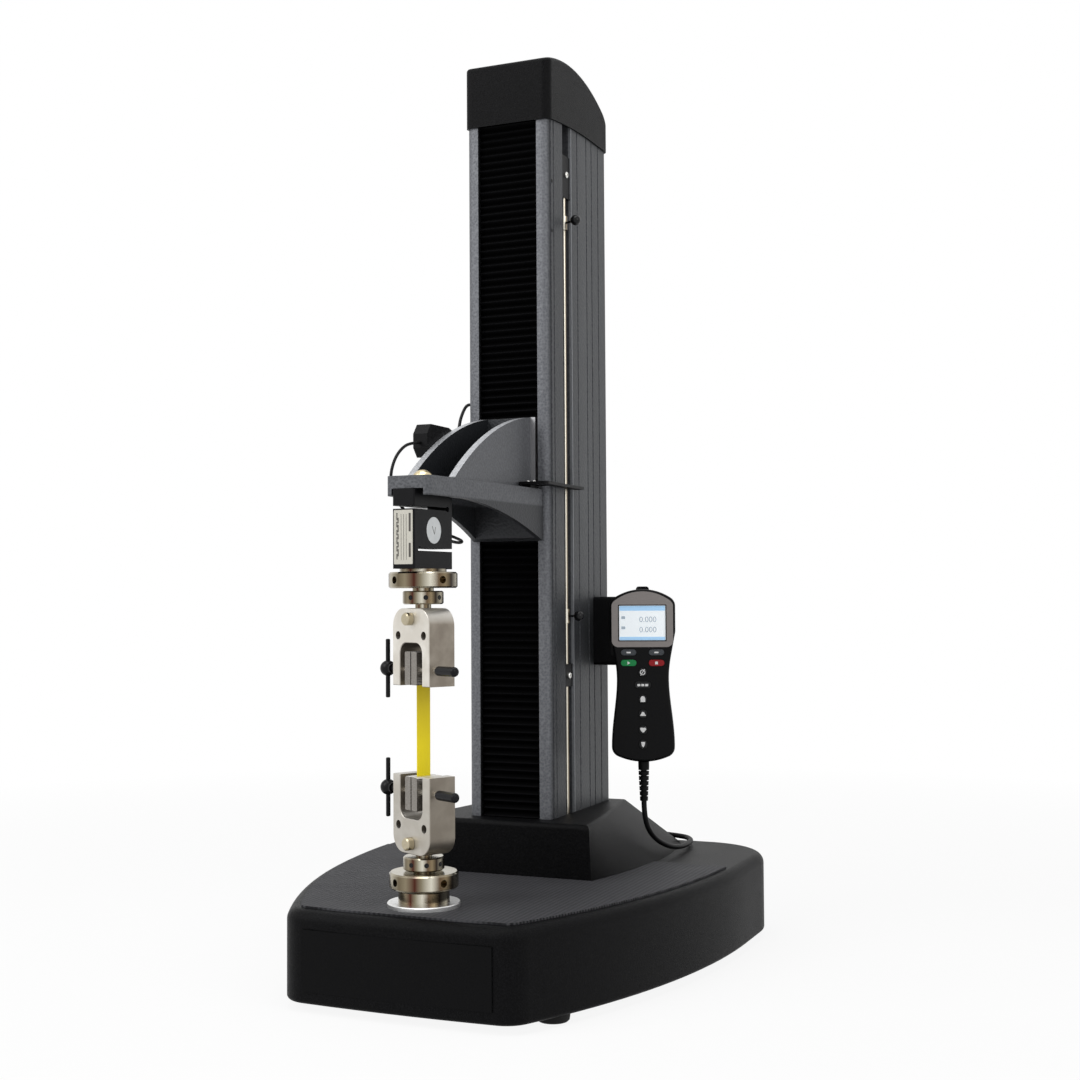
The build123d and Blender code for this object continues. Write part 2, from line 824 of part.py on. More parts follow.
def load_cell():
    """S-shaped load cell: a block with two slots from opposite ends, a window and a lead gland."""
    half = cell_half_length
    body = block(-cell_half_thickness, cell_half_thickness, -half, half, cell_bottom, cell_top)
    body = fillet(body.edges().filter_by(Axis.Z), 1.5)
    wide = cell_half_thickness + 1
    body -= block(
        -wide, wide, -half + cell_web, half + 1, cell_lower_slot_z, cell_lower_slot_z + cell_slot
    )
    body -= block(
        -wide, wide, -half - 1, half - cell_web, cell_upper_slot_z, cell_upper_slot_z + cell_slot
    )
    ends = ((-half + cell_web, cell_lower_slot_z), (half - cell_web, cell_upper_slot_z))
    for y, z in ends:
        eye = Pos(0, y, z + cell_slot / 2) * Rot(0, 90, 0) * Cylinder(2.6, 2 * wide)
        body -= eye
    for depth in (cell_bottom, cell_top - stud_length):
        body -= post(stud_radius + seat_gap, depth - 0.5, depth + stud_length + 0.5)
    gland_end = half + cell_gland_length
    gland = bar(cell_gland_radius, (0, half - 1, cell_gland_z), (0, gland_end, cell_gland_z))
    body += gland
    return Pos(0, load_y, 0) * Rot(0, 0, cell_yaw) * body


def cell_connector():
    """Connector block on the crosshead's left rib."""
    inner = -rib_outer_x
    section = [
        (connector_front, connector_bottom + 9),
        (connector_front + 8, connector_bottom),
        (connector_rear, connector_bottom + 4),
        (connector_rear, connector_top - 3),
        (connector_rear - 10, connector_top),
        (connector_front + 8, connector_top),
        (connector_front, connector_top - 10),
    ]
    face = make_face(Plane.YZ * Polyline(*section, close=True))
    body = Pos(inner, 0, 0) * extrude(face, amount=connector_outer_x - inner)
    return fillet(body.edges().filter_by(Axis.X).group_by(Axis.Z)[-1], 1.0)


def lock_ring(z_low):
    """Lock ring on the spindle, with four radial holes for a pin spanner."""
    chamfer_size = 1.5
    top = z_low + lock_ring_height
    bore = spindle_radius + running_gap
    profile = [
        (bore, z_low),
        (lock_ring_radius - chamfer_size, z_low),
        (lock_ring_radius, z_low + chamfer_size),
        (lock_ring_radius, top - chamfer_size),
        (lock_ring_radius - chamfer_size, top),
        (bore, top),
    ]
    ring = turned(profile, 0, load_y)
    middle = z_low + lock_ring_height / 2
    for quarter in range(4):
        angle = radians(grip_yaw + 90 * quarter)
        outer = lock_ring_radius + 1
        inner = lock_ring_radius - lock_ring_hole_depth
        start = (inner * cos(angle), load_y + inner * sin(angle), middle)
        end = (outer * cos(angle), load_y + outer * sin(angle), middle)
        ring -= bar(lock_ring_hole, start, end)
    return ring


def adapter_steps(stud_low, flange_low, flange_high, flange_radius, collar_near, collar_far, neck_end):
    """Half section of an adapter, from its stud past its flange, spindle and collar to its neck."""
    edge = 1.2 if collar_far > collar_near else -1.2
    return [
        (0, stud_low),
        (stud_radius, stud_low),
        (stud_radius, flange_low),
        (flange_radius, flange_low),
        (flange_radius, flange_high),
        (spindle_radius, flange_high),
        (spindle_radius, collar_near),
        (collar_ring_radius - abs(edge), collar_near),
        (collar_ring_radius, collar_near + edge),
        (collar_ring_radius, collar_far - edge),
        (collar_ring_radius - abs(edge), collar_far),
        (neck_radius, collar_far),
        (neck_radius, neck_end),
        (0, neck_end),
    ]


def pin_hole(height):
    """Cross hole for a clevis pin, along the grip's depth."""
    tool = Rot(0, 0, grip_yaw) * Rot(90, 0, 0) * Cylinder(pin_radius + running_gap, 2 * grip_depth)
    return Pos(0, load_y, height) * tool


def upper_adapter():
    """Spindle between the load cell and the upper grip."""
    closed = upper_grip_open + grip_height
    profile = adapter_steps(
        cell_bottom + stud_length - 1,
        cell_bottom,
        cell_bottom - upper_flange_height,
        upper_flange_radius,
        upper_collar_bottom + collar_ring_height,
        upper_collar_bottom,
        closed - neck_depth,
    )
    return turned(profile, 0, load_y) - pin_hole(closed - pin_from_closed)


def base_disc():
    """Aluminium disc on the base under the lower adapter."""
    top = mat_top + disc_height
    disc = post(disc_radius, mat_top, top, 0, load_y)
    disc = chamfer(disc.edges().group_by(Axis.Z)[-1], 0.8)
    disc += post(disc_spigot_radius, base_top, mat_top, 0, load_y)
    return disc - post(stud_radius + seat_gap, base_top - 1, top + 1, 0, load_y)


def lower_adapter():
    """Spindle between the base and the lower grip."""
    closed = lower_grip_open - grip_height
    disc_top = mat_top + disc_height
    profile = adapter_steps(
        base_inner_top - base_rib_depth + 6,
        disc_top,
        disc_top + lower_flange_height,
        lower_flange_radius,
        lower_collar_bottom,
        lower_collar_bottom + collar_ring_height,
        closed + neck_depth,
    )
    piece = turned(profile, 0, load_y)
    spanner_hole = bar(2.5, (12, load_y - 18, disc_top + 5.2), (22, load_y - 33, disc_top + 5.2))
    return piece - pin_hole(closed + pin_from_closed) - spanner_hole


def place_grip(shape, upper):
    """Turn a grip piece to its angle and put it on the load axis, upright or upside down."""
    turned_shape = Rot(0, 0, grip_yaw) * shape
    if upper:
        return Pos(0, load_y, upper_grip_open) * turned_shape
    return Pos(0, load_y, lower_grip_open) * mirror(turned_shape, about=Plane.XY)


def grip_body():
    """Grip body: an arch with rounded shoulders, a deep slot and holes for pins and clamp screws."""
    half = grip_width / 2
    front = -grip_depth / 2
    slot_half = grip_slot_width / 2
    face = make_face(
        Plane.XZ
        * Polyline((-half, 0), (half, 0), (half, grip_height), (-half, grip_height), close=True)
    )
    body = Pos(0, -front, 0) * extrude(face, amount=grip_depth)
    body = fillet(body.edges().filter_by(Axis.Y).group_by(Axis.Z)[-1], grip_corner)
    slot = block(-slot_half, slot_half, front - 1, -front + 1, -30, grip_slot_depth)
    slot = fillet(slot.edges().filter_by(Axis.Y).group_by(Axis.Z)[-1], grip_slot_corner)
    body -= slot
    body -= post(neck_radius + seat_gap, grip_height - neck_depth - 1, grip_height + 1)
    pin_z = grip_height - pin_from_closed
    body -= Pos(0, 0, pin_z) * Rot(90, 0, 0) * Cylinder(pin_radius + running_gap, 2 * grip_depth)
    for side in (-1, 1):
        dowel = Pos(side * dowel_x, 0, grip_height - dowel_from_closed) * Rot(90, 0, 0)
        body -= dowel * Cylinder(dowel_radius, 2 * grip_depth)
    clamp = Rot(0, 90, 0) * Cylinder(clamp_radius + running_gap, 2 * grip_width)
    body -= Pos(0, clamp_y, clamp_axis) * clamp
    return chamfer(body.faces().sort_by(Axis.Y)[0].outer_wire().edges(), 0.6)


def clevis_pin():
    """Pin through the grip and the adapter's neck, with a head at the front."""
    front = -grip_depth / 2
    head_start = front - slide_gap
    height = grip_height - pin_from_closed
    shank = bar(pin_radius, (0, head_start, height), (0, -front + 2, height))
    head = bar(pin_head_radius, (0, head_start - pin_head_length, height), (0, head_start, height))
    head = chamfer(head.edges().group_by(Axis.Y)[0], 1.2)
    return shank + head


def jaw(side):
    """Clamping jaw with a shallow tooth pattern and a socket for its screw's tip."""
    inner = jaw_gap / 2
    outer = inner + jaw_thickness
    half_depth = grip_depth / 2
    low = jaw_setback
    high = jaw_setback + jaw_height
    piece = block(inner, outer, -half_depth, half_depth, low, high)
    piece = chamfer(piece.edges().filter_by(Axis.Y).group_by(Axis.X)[-1], 1.0)
    tooth = 3.0
    for index in range(int(jaw_height / tooth)):
        middle = low + (index + 0.5) * tooth
        cut = Pos(inner, 0, middle) * Rot(0, 45, 0) * Box(0.5, grip_depth + 2, 0.5)
        piece -= cut
    socket_start = outer - jaw_socket
    piece -= bar(
        clamp_radius + running_gap, (socket_start, clamp_y, clamp_axis), (outer + 1, clamp_y, clamp_axis)
    )
    return piece if side > 0 else mirror(piece, about=Plane.YZ)


def screw_tip_x():
    """Where a clamp screw's tip ends, inside the jaw's socket."""
    return jaw_gap / 2 + jaw_thickness - jaw_socket + slide_gap


def t_handle_screw():
    """Left clamp screw with a round hub and a sliding T-bar."""
    tip = -screw_tip_x()
    neck_start = hub_x + hub_neck_length
    shaft = bar(clamp_radius, (tip, clamp_y, clamp_axis), (neck_start - 1, clamp_y, clamp_axis))
    neck = bar(hub_neck_radius, (neck_start, clamp_y, clamp_axis), (hub_x, clamp_y, clamp_axis))
    hub = Pos(hub_x, clamp_y, clamp_axis) * Sphere(hub_radius)
    half = t_bar_length / 2
    low_end = (hub_x, clamp_y, clamp_axis - half)
    high_end = (hub_x, clamp_y, clamp_axis + half)
    t_bar = bar(t_bar_radius, low_end, high_end)
    t_bar = fillet(t_bar.edges().filter_by(GeomType.CIRCLE), 1.2)
    return shaft + neck + hub + t_bar


def sleeve_screw():
    """Right clamp screw with a long round-ended sleeve."""
    shaft = bar(clamp_radius, (screw_tip_x(), clamp_y, clamp_axis), (sleeve_start + 1, clamp_y, clamp_axis))
    near_end = (sleeve_start, clamp_y, clamp_axis)
    far_end = (sleeve_start + sleeve_length, clamp_y, clamp_axis)
    sleeve = bar(sleeve_radius, near_end, far_end)
    sleeve = fillet(sleeve.edges().filter_by(GeomType.CIRCLE), sleeve_radius - 1.2)
    return shaft + sleeve


def test_specimen():
    """Flat test strip clamped in both grips."""
    low = lower_grip_open - strip_clamped
    high = upper_grip_open + strip_clamped
    half = strip_thickness / 2
    strip = block(-half, half, -strip_width / 2, strip_width / 2, low, high)
    return Pos(0, load_y, 0) * Rot(0, 0, grip_yaw) * strip


def place_handset(shape):
    """Turn a handset piece to its angle and hang it beside the column."""
    return Pos(handset_x, handset_y, 0) * Rot(0, 0, handset_yaw) * shape


def handset_outline():
    """Front outline of the handset: arched head, waist, wider foot, drawn as (X, Z)."""
    low_arc_z = handset_bottom + 9
    shoulder_z = handset_top - 13

    def side(sign):
        return Spline(
            (sign * handset_top_half, handset_neck_z),
            (sign * (handset_waist_half + 3.2), 322),
            (sign * handset_waist_half, 300),
            (sign * (handset_waist_half + 1.6), 265),
            (sign * handset_bottom_half, 228),
            (sign * handset_bottom_half, low_arc_z),
        )

    edges = [
        side(1),
        ThreePointArc(
            (handset_bottom_half, low_arc_z),
            (0, handset_bottom),
            (-handset_bottom_half, low_arc_z),
        ),
        side(-1),
        Line((-handset_top_half, handset_neck_z), (-handset_top_half, shoulder_z)),
        ThreePointArc((-handset_top_half, shoulder_z), (0, handset_top), (handset_top_half, shoulder_z)),
        Line((handset_top_half, shoulder_z), (handset_top_half, handset_neck_z)),
    ]
    return make_face(edges)


def handset_slab(y_low, y_high):
    """The handset's outline as a slab between two depths."""
    slab = extrude(Plane.XZ * handset_outline(), amount=y_high - y_low)
    slab = Pos(0, y_high, 0) * slab
    corners = slab.edges().filter_by(Axis.Y)
    return fillet(corners.group_by(Axis.Z)[0] + corners.group_by(Axis.Z)[-1], handset_corner)


def key_table():
    """Name, centre (X, Z) and size (width, height) of each key on the handset."""
    jog = 9.5
    return {
        "function_key_left": (-15.0, 320.7, 16.5, 6.4),
        "function_key_right": (15.0, 320.7, 16.5, 6.4),
        "start_key": (-15.0, 309.4, 16.8, 6.8),
        "stop_key": (15.0, 309.4, 16.8, 6.8),
        "zero_key": (0.0, 299.4, jog, jog),
        "menu_key": (0.0, 285.6, 18.0, 7.6),
        "fast_up_key": (0.0, 270.5, jog, jog),
        "slow_up_key": (0.0, 254.4, jog, jog),
        "slow_down_key": (0.0, 237.4, jog, jog),
        "fast_down_key": (0.0, 221.8, jog, jog),
    }


def key_form(x, z, width, height, y_low, y_high, grow=0.0):
    """A key's pill or round form between two depths."""
    radius = height / 2 + grow
    if width > height:
        shape = SlotOverall(width + 2 * grow, 2 * radius)
    else:
        shape = Circle(radius)
    form = extrude(Plane.XZ * Pos(x, z) * shape, amount=y_high - y_low)
    return Pos(0, y_high, 0) * form


def bezel_plate(y_low, y_high):
    """Arched bezel plate round the display, between two depths."""
    wide = handset_top_half - bezel_inset
    shoulder_z = handset_top - 15
    edges = [
        Line((-wide, bezel_bottom), (wide, bezel_bottom)),
        Line((wide, bezel_bottom), (wide, shoulder_z)),
        ThreePointArc((wide, shoulder_z), (0, handset_top - bezel_inset), (-wide, shoulder_z)),
        Line((-wide, shoulder_z), (-wide, bezel_bottom)),
    ]
    plate = make_face(edges)
    plate = fillet(plate.vertices(), bezel_corner)
    return Pos(0, y_high, 0) * extrude(Plane.XZ * plate, amount=y_high - y_low)


def handset_front():
    """Front half of the handset, with the bezel, the display recess and the key pockets."""
    front = -handset_depth / 2
    shell = handset_slab(front, handset_split)
    shell = fillet(shell.faces().sort_by(Axis.Y)[0].outer_wire().edges(), handset_edge)
    half = display_width / 2
    shell += bezel_plate(front - bezel_proud, front + 1)
    low = display_centre_z - display_height / 2
    high = display_centre_z + display_height / 2
    shell -= block(-half, half, front - 2, front + display_recess, low, high)
    for x, z, width, height in key_table().values():
        shell -= key_form(x, z, width, height, front - 1, front + key_pocket, key_gap)
    return place_handset(shell)


def handset_back():
    """Back half of the handset, with the ears that slide on the holder's rail and the strain relief."""
    back = handset_depth / 2
    shell = handset_slab(handset_split, back)
    shell = fillet(shell.faces().sort_by(Axis.Y)[-1].outer_wire().edges(), handset_edge)
    inner = rail_half_width + slide_gap
    outer = inner + ear_wall
    reach = back + rail_thickness + 2 * slide_gap
    ears = block(-outer, outer, back - 1, reach + ear_lip, rail_bottom - 2, rail_top + slide_gap + ear_wall)
    ears -= block(-inner, inner, back, reach, rail_bottom - 3, rail_top + slide_gap)
    lip_half = stem_half_width + slide_gap
    ears -= block(-lip_half, lip_half, back, reach + ear_lip + 1, rail_bottom - 3, rail_top + slide_gap)
    relief = turned(
        [
            (0, relief_bottom),
            (relief_end_radius, relief_bottom),
            (relief_top_radius, handset_bottom - 6),
            (relief_top_radius, handset_bottom + 4),
            (0, handset_bottom + 4),
        ]
    )
    for index in range(6):
        height = relief_bottom + 5 + index * 5.5
        groove = Cylinder(relief_top_radius + 1, 1.4) - Cylinder(relief_end_radius - 1.0, 1.4)
        relief -= Pos(0, 0, height) * groove
    nub = block(-7, 7, handset_split + 4, back - 4, handset_top - 6, handset_top + 3)
    nub = fillet(nub.edges().filter_by(Axis.Y).group_by(Axis.Z)[-1], 3)
    front_clear = block(-40, 40, -back - 1, handset_split, handset_bottom - 1, handset_top + 5)
    return place_handset(shell + ears + (relief - front_clear) + nub)


def handset_key(name):
    """One key, proud of the handset's front."""
    front = -handset_depth / 2
    x, z, width, height = key_table()[name]
    key = key_form(x, z, width, height, front - key_proud, front + key_depth)
    key = fillet(key.faces().sort_by(Axis.Y)[0].edges(), 0.5)
    return place_handset(key)


def handset_holder():
    """Bracket on the column's side, with an arm and the rail that the handset hangs on."""
    body = block(column_half_width, holder_outer_x, holder_front, holder_rear, holder_bottom, holder_top)
    body = fillet(body.edges().filter_by(Axis.X), 4)
    back = handset_depth / 2
    rail_front = back + slide_gap
    rail_rear = rail_front + rail_thickness
    rail = block(-rail_half_width, rail_half_width, rail_front, rail_rear, rail_bottom, rail_top)
    stem = block(-stem_half_width, stem_half_width, rail_rear - 1, rail_rear + 14, rail_bottom, rail_top)
    arm = block(-36, stem_half_width, rail_rear + 6, rail_rear + 20, rail_bottom - 10, rail_top)
    return body + place_handset(rail + stem + arm)


def mains_inlet():
    """Mains inlet and switch housing at the back of the base."""
    rear = base_length / 2 - inlet_recess
    side = inlet_half_width - inlet_flange - slide_gap
    tall = inlet_half_height - inlet_flange - slide_gap
    body = block(inlet_x - side, inlet_x + side, rear - inlet_depth, rear, inlet_z - tall, inlet_z + tall)
    flange = block(
        inlet_x - inlet_half_width, inlet_x + inlet_half_width, rear, rear + inlet_flange,
        inlet_z - inlet_half_height, inlet_z + inlet_half_height,
    )
    flange = fillet(flange.edges().filter_by(Axis.Y), 3)
    body += flange
    socket_x = inlet_x + socket_offset
    socket = block(
        socket_x - socket_half_width, socket_x + socket_half_width,
        rear + inlet_flange - socket_depth, rear + inlet_flange + 1,
        inlet_z - socket_half_height, inlet_z + socket_half_height,
    )
    socket = chamfer(socket.edges().filter_by(Axis.Y).group_by(Axis.Z)[-1], 4)
    body -= socket
    for pin_x, pin_z in ((-6.5, -2.5), (0, 2.5), (6.5, -2.5)):
        start = rear + inlet_flange - socket_depth - 1
        x = socket_x + pin_x
        body += block(x - 1, x + 1, start, start + 10, inlet_z + pin_z - 2, inlet_z + pin_z + 2)
    rocker_x = inlet_x + rocker_offset
    wide = rocker_half_width + slide_gap
    tall = rocker_half_height + rocker_gap
    body -= block(
        rocker_x - wide, rocker_x + wide, rear - 12, rear + inlet_flange + 1, inlet_z - tall, inlet_z + tall
    )
    pivot_y = rear + inlet_flange - rocker_pivot_depth
    seat = rocker_pivot_radius + running_gap
    return body - bar(seat, (rocker_x - wide - 1, pivot_y, inlet_z), (rocker_x + wide + 1, pivot_y, inlet_z))


def power_switch():
    """Rocker of the power switch, a wedge pair about its hinge line."""
    rear = base_length / 2 - inlet_recess + inlet_flange
    x = inlet_x + rocker_offset
    half = rocker_half_height
    section = [
        (rear + 2.2, inlet_z + half - 1.2),
        (rear + 0.4, inlet_z),
        (rear - 1.2, inlet_z - half + 1.2),
        (rear - 7, inlet_z - half + 3.0),
        (rear - 7, inlet_z + half - 3.0),
    ]
    face = make_face(Plane.YZ * Polyline(*section, close=True))
    rocker = Pos(x, 0, 0) * extrude(face, amount=rocker_half_width, both=True)
    pivot_y = rear - rocker_pivot_depth
    reach = rocker_half_width + slide_gap + 0.7
    return rocker + bar(rocker_pivot_radius, (x - reach, pivot_y, inlet_z), (x + reach, pivot_y, inlet_z))


def cell_lead_points():
    """Route of the lead from the load cell's gland, behind the cell, to the connector's front."""
    reach = cell_half_length + cell_gland_length
    turn = radians(cell_yaw)
    return [
        (-reach * sin(turn), load_y + reach * cos(turn), cell_gland_z),
        (5.0, -146.0, 434.0),
        (3.0, -124.0, 436.0),
        (-14.0, -115.0, 442.0),
        (-27.0, -131.0, 448.0),
        (-26.5, -154.0, 452.0),
        (-25.5, -177.0, 457.0),
        (-25.0, -198.0, 465.0),
        (-27.8, -213.0, 478.0),
        (-29.0, -217.0, 495.0),
        (-29.5, -208.0, 512.0),
        (-31.0, -191.0, 524.0),
        (-33.0, -170.0, 531.5),
        (-34.5, connector_front, 534.0),
    ]


def column_lead_points():
    """Route of the lead from the connector's rear, hanging beside the column, up into its block."""
    return [
        (-38.0, connector_rear + seat_gap, 545.0),
        (-38.0, -66.0, 545.0),
        (-43.0, -43.0, 554.0),
        (-52.0, -19.0, 574.0),
        (-57.0, 9.0, 593.0),
        (-57.0, 36.0, 588.0),
        (-56.5, 51.0, 560.0),
        (-56.0, 54.0, 512.0),
        (-56.0, 59.0, 472.0),
        (-56.0, 77.0, 443.0),
        (-56.0, 102.0, 446.0),
        (-55.5, 117.0, 474.0),
        (-55.0, 117.0, 504.0),
    ]


def handset_cord_points():
    """Route of the handset's cord, down past the plinth's side and round its rear corner."""
    return [
        (handset_x, handset_y, relief_bottom - seat_gap),
        (handset_x, handset_y, 140.0),
        (117.0, 107.0, 119.0),
        (125.5, 135.0, 105.0),
        (128.5, 170.0, 99.5),
        (127.5, 200.0, 98.5),
        (123.0, 230.0, 98.5),
        (104.0, 251.0, 99.0),
        (cord_boss_end_x, 254.0, 100.0),
    ]


def cord_radii(points):
    """Arc radius at each inner point: as large as its two runs allow."""
    radii = []
    for before, here, after in zip(points, points[1:], points[2:]):
        first = Vector(*here) - Vector(*before)
        second = Vector(*after) - Vector(*here)
        turn = radians(first.get_angle(second))
        shorter = min(first.length, second.length)
        radii.append(0.45 * shorter / tan(turn / 2))
    return radii


def cord(name, points, radius):
    """A round cord along straight runs joined by tangent arcs."""
    radii = cord_radii(points)
    path = FilletPolyline(*points, radius=radii)
    start_plane = Plane(origin=path @ 0, z_dir=path % 0)
    tube = sweep(start_plane * Circle(radius), path=path)
    expected = pi * radius ** 2 * path.length
    print(name, "radii", [round(value, 1) for value in radii])
    print(name, "length", round(path.length, 1), "volume ratio", round(tube.volume / expected, 4))
    return tube


def build():
    """Build and write every node."""
    save("base_housing", base_housing())
    save("base_plate", base_plate())
    save("base_feet", base_feet())
    save("work_mat", work_mat())
    save("column_plinth", column_plinth())
    save("column_extrusion", column_extrusion())
    save("top_cap", top_cap())
    save("upper_bellows", bellows(rib_top + slide_gap, cap_bottom_front + 0.5))
    save("lower_bellows", bellows(plinth_top + slide_gap, lower_rib_bottom - slide_gap))
    save("ball_screw", ball_screw())
    save("screw_bearings", screw_bearings())
    save("drive_motor", drive_motor())
    save("limit_rod", limit_rod())
    save("rod_guides", rod_guides())
    save("upper_stop", stop_collar(upper_stop_z))
    save("lower_stop", stop_collar(lower_stop_z))
    save("upper_stop_knob", stop_knob(upper_stop_z, upper_knob_turn, upper_knob_reach))
    save("lower_stop_knob", stop_knob(lower_stop_z, lower_knob_turn, lower_knob_reach))
    save("crosshead_casting", crosshead_casting())
    save("carriage", carriage())
    save("limit_flag", limit_flag())
    save("cell_bolt", cell_bolt())
    save("load_cell", load_cell())
    save("cell_connector", cell_connector())
    save("cell_lead", cord("cell_lead", cell_lead_points(), cell_lead_radius))
    save("column_lead", cord("column_lead", column_lead_points(), column_lead_radius))
    save("upper_adapter", upper_adapter())
    save("upper_lock_ring", lock_ring(upper_lock_bottom))
    save("base_disc", base_disc())
    save("lower_adapter", lower_adapter())
    save("lower_lock_ring", lock_ring(lower_lock_bottom))
    for level, upper in (("upper", True), ("lower", False)):
        save(level + "_grip_body", place_grip(grip_body(), upper))
        save(level + "_clevis_pin", place_grip(clevis_pin(), upper))
        save(level + "_left_jaw", place_grip(jaw(-1), upper))
        save(level + "_right_jaw", place_grip(jaw(1), upper))
        save(level + "_t_handle_screw", place_grip(t_handle_screw(), upper))
        save(level + "_sleeve_screw", place_grip(sleeve_screw(), upper))
    save("test_specimen", test_specimen())
    save("handset_front", handset_front())
    save("handset_back", handset_back())
    save("handset_holder", handset_holder())
    save("handset_cord", cord("handset_cord", handset_cord_points(), handset_cord_radius))
    for name in key_table():
        save(name, handset_key(name))
    save("mains_inlet", mains_inlet())
    save("power_switch", power_switch())


build()
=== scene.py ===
from math import cos, pi, radians, sin

import bmesh
import bpy
from mathutils import Matrix, Vector


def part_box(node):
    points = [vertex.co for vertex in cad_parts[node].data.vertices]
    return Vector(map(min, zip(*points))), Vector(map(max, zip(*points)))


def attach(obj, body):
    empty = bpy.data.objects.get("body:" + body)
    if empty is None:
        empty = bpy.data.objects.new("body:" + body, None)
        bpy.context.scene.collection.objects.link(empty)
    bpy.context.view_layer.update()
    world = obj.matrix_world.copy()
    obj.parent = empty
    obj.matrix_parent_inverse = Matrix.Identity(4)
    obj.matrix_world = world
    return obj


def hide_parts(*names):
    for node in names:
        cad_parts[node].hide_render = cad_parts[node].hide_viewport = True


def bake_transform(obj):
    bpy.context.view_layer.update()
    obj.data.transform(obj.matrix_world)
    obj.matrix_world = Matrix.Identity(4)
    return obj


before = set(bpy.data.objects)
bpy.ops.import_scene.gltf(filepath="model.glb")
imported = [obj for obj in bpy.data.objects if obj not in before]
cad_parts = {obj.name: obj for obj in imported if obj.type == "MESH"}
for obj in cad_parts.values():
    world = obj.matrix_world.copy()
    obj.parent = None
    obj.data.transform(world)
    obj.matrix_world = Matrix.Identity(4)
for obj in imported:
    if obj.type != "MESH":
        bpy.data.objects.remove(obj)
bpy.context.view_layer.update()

bl_info = {
    "name": "Bench-top materials tester",
    "version": (1, 0, 0),
    "blender": (4, 5, 0),
    "location": "View3D > Sidebar > Tester",
    "description": "Finishes and details of a single-column materials tester, and its studio",
    "category": "Object",
}

# Places in metres and turns in radians
MM = 0.001
LOAD_Y = -0.206
CELL_YAW = radians(-5)
GRIP_YAW = radians(-28)
HANDSET_YAW = radians(18)

# How far a clamp screw is bare steel from the load axis
SHAFT_REACH = 0.0338

# Thicknesses: cloth, print, marks on keys, label, display, and the rounding of such thin plates
CLOTH = 0.0009
PRINT = 0.00008
KEY_MARK = 0.00012
LABEL = 0.00025
PANEL = 0.0007
EDGE = 0.0001

# Places on the handset and the inlet
HANDSET_PLACE = (0.112, 0.094, 0.0)
HANDSET_FRONT = 0.014
KEY_FRONT = 0.015
INLET_X = -0.105
INLET_Z = 0.050

# Strength of the plain light from all sides, and how much of the shadow the bench shows
SOFT_LIGHT = 0.42
SHADOW = 0.12

# Sockets of the Mix node that mix colours
MIX_FACTOR = 0
MIX_COLOURS = (6, 7)
MIX_COLOUR_OUT = 2


# Shader maths

class Signal:
    """A shader socket that Python's operators work on."""

    def __init__(self, shading, socket):
        self.shading = shading
        self.socket = socket

    def math(self, operation, *others, clamp=False):
        values = dict(enumerate((self,) + others))
        settings = {"operation": operation, "use_clamp": clamp}
        return self.shading.node("ShaderNodeMath", settings, values)

    def __add__(self, other):
        return self.math("ADD", other)

    __radd__ = __add__

    def __sub__(self, other):
        return self.math("SUBTRACT", other)

    def __rsub__(self, other):
        return self.shading.node("ShaderNodeMath", {"operation": "SUBTRACT"}, {0: other, 1: self})

    def __mul__(self, other):
        return self.math("MULTIPLY", other)

    __rmul__ = __mul__

    def __truediv__(self, other):
        return self.math("DIVIDE", other)

    def __rtruediv__(self, other):
        return self.shading.node("ShaderNodeMath", {"operation": "DIVIDE"}, {0: other, 1: self})

    def __abs__(self):
        return self.math("ABSOLUTE")

    def clamped(self):
        return self.math("ADD", 0.0, clamp=True)

    def above(self, level, soft):
        """0 below a level and 1 above it, over a soft edge."""
        return ((self - level) / soft).clamped()

    def within(self, low, high, soft):
        """1 between two levels."""
        return self.above(low, soft) * (1 - self.above(high, soft))


class Shading:
    """A node tree, and the one method that adds nodes to it."""

    def __init__(self, tree):
        self.tree = tree

    def node(self, kind, settings=None, inputs=None, output=0):
        """Any node: its settings first, then its sockets' values or links."""
        made = self.tree.nodes.new(kind)
        for key, value in (settings or {}).items():
            if key == "stops":
                self.set_stops(made.color_ramp, value)
            else:
                setattr(made, key, value)
        for key, value in (inputs or {}).items():
            if isinstance(value, Signal):
                self.tree.links.new(value.socket, made.inputs[key])
            else:
                made.inputs[key].default_value = value
        return Signal(self, made.outputs[output])

    def set_stops(self, ramp, stops):
        while len(ramp.elements) < len(stops):
            ramp.elements.new(0.5)
        for element, (position, colour) in zip(ramp.elements, stops):
            element.position = position
            element.color = (*colour, 1)


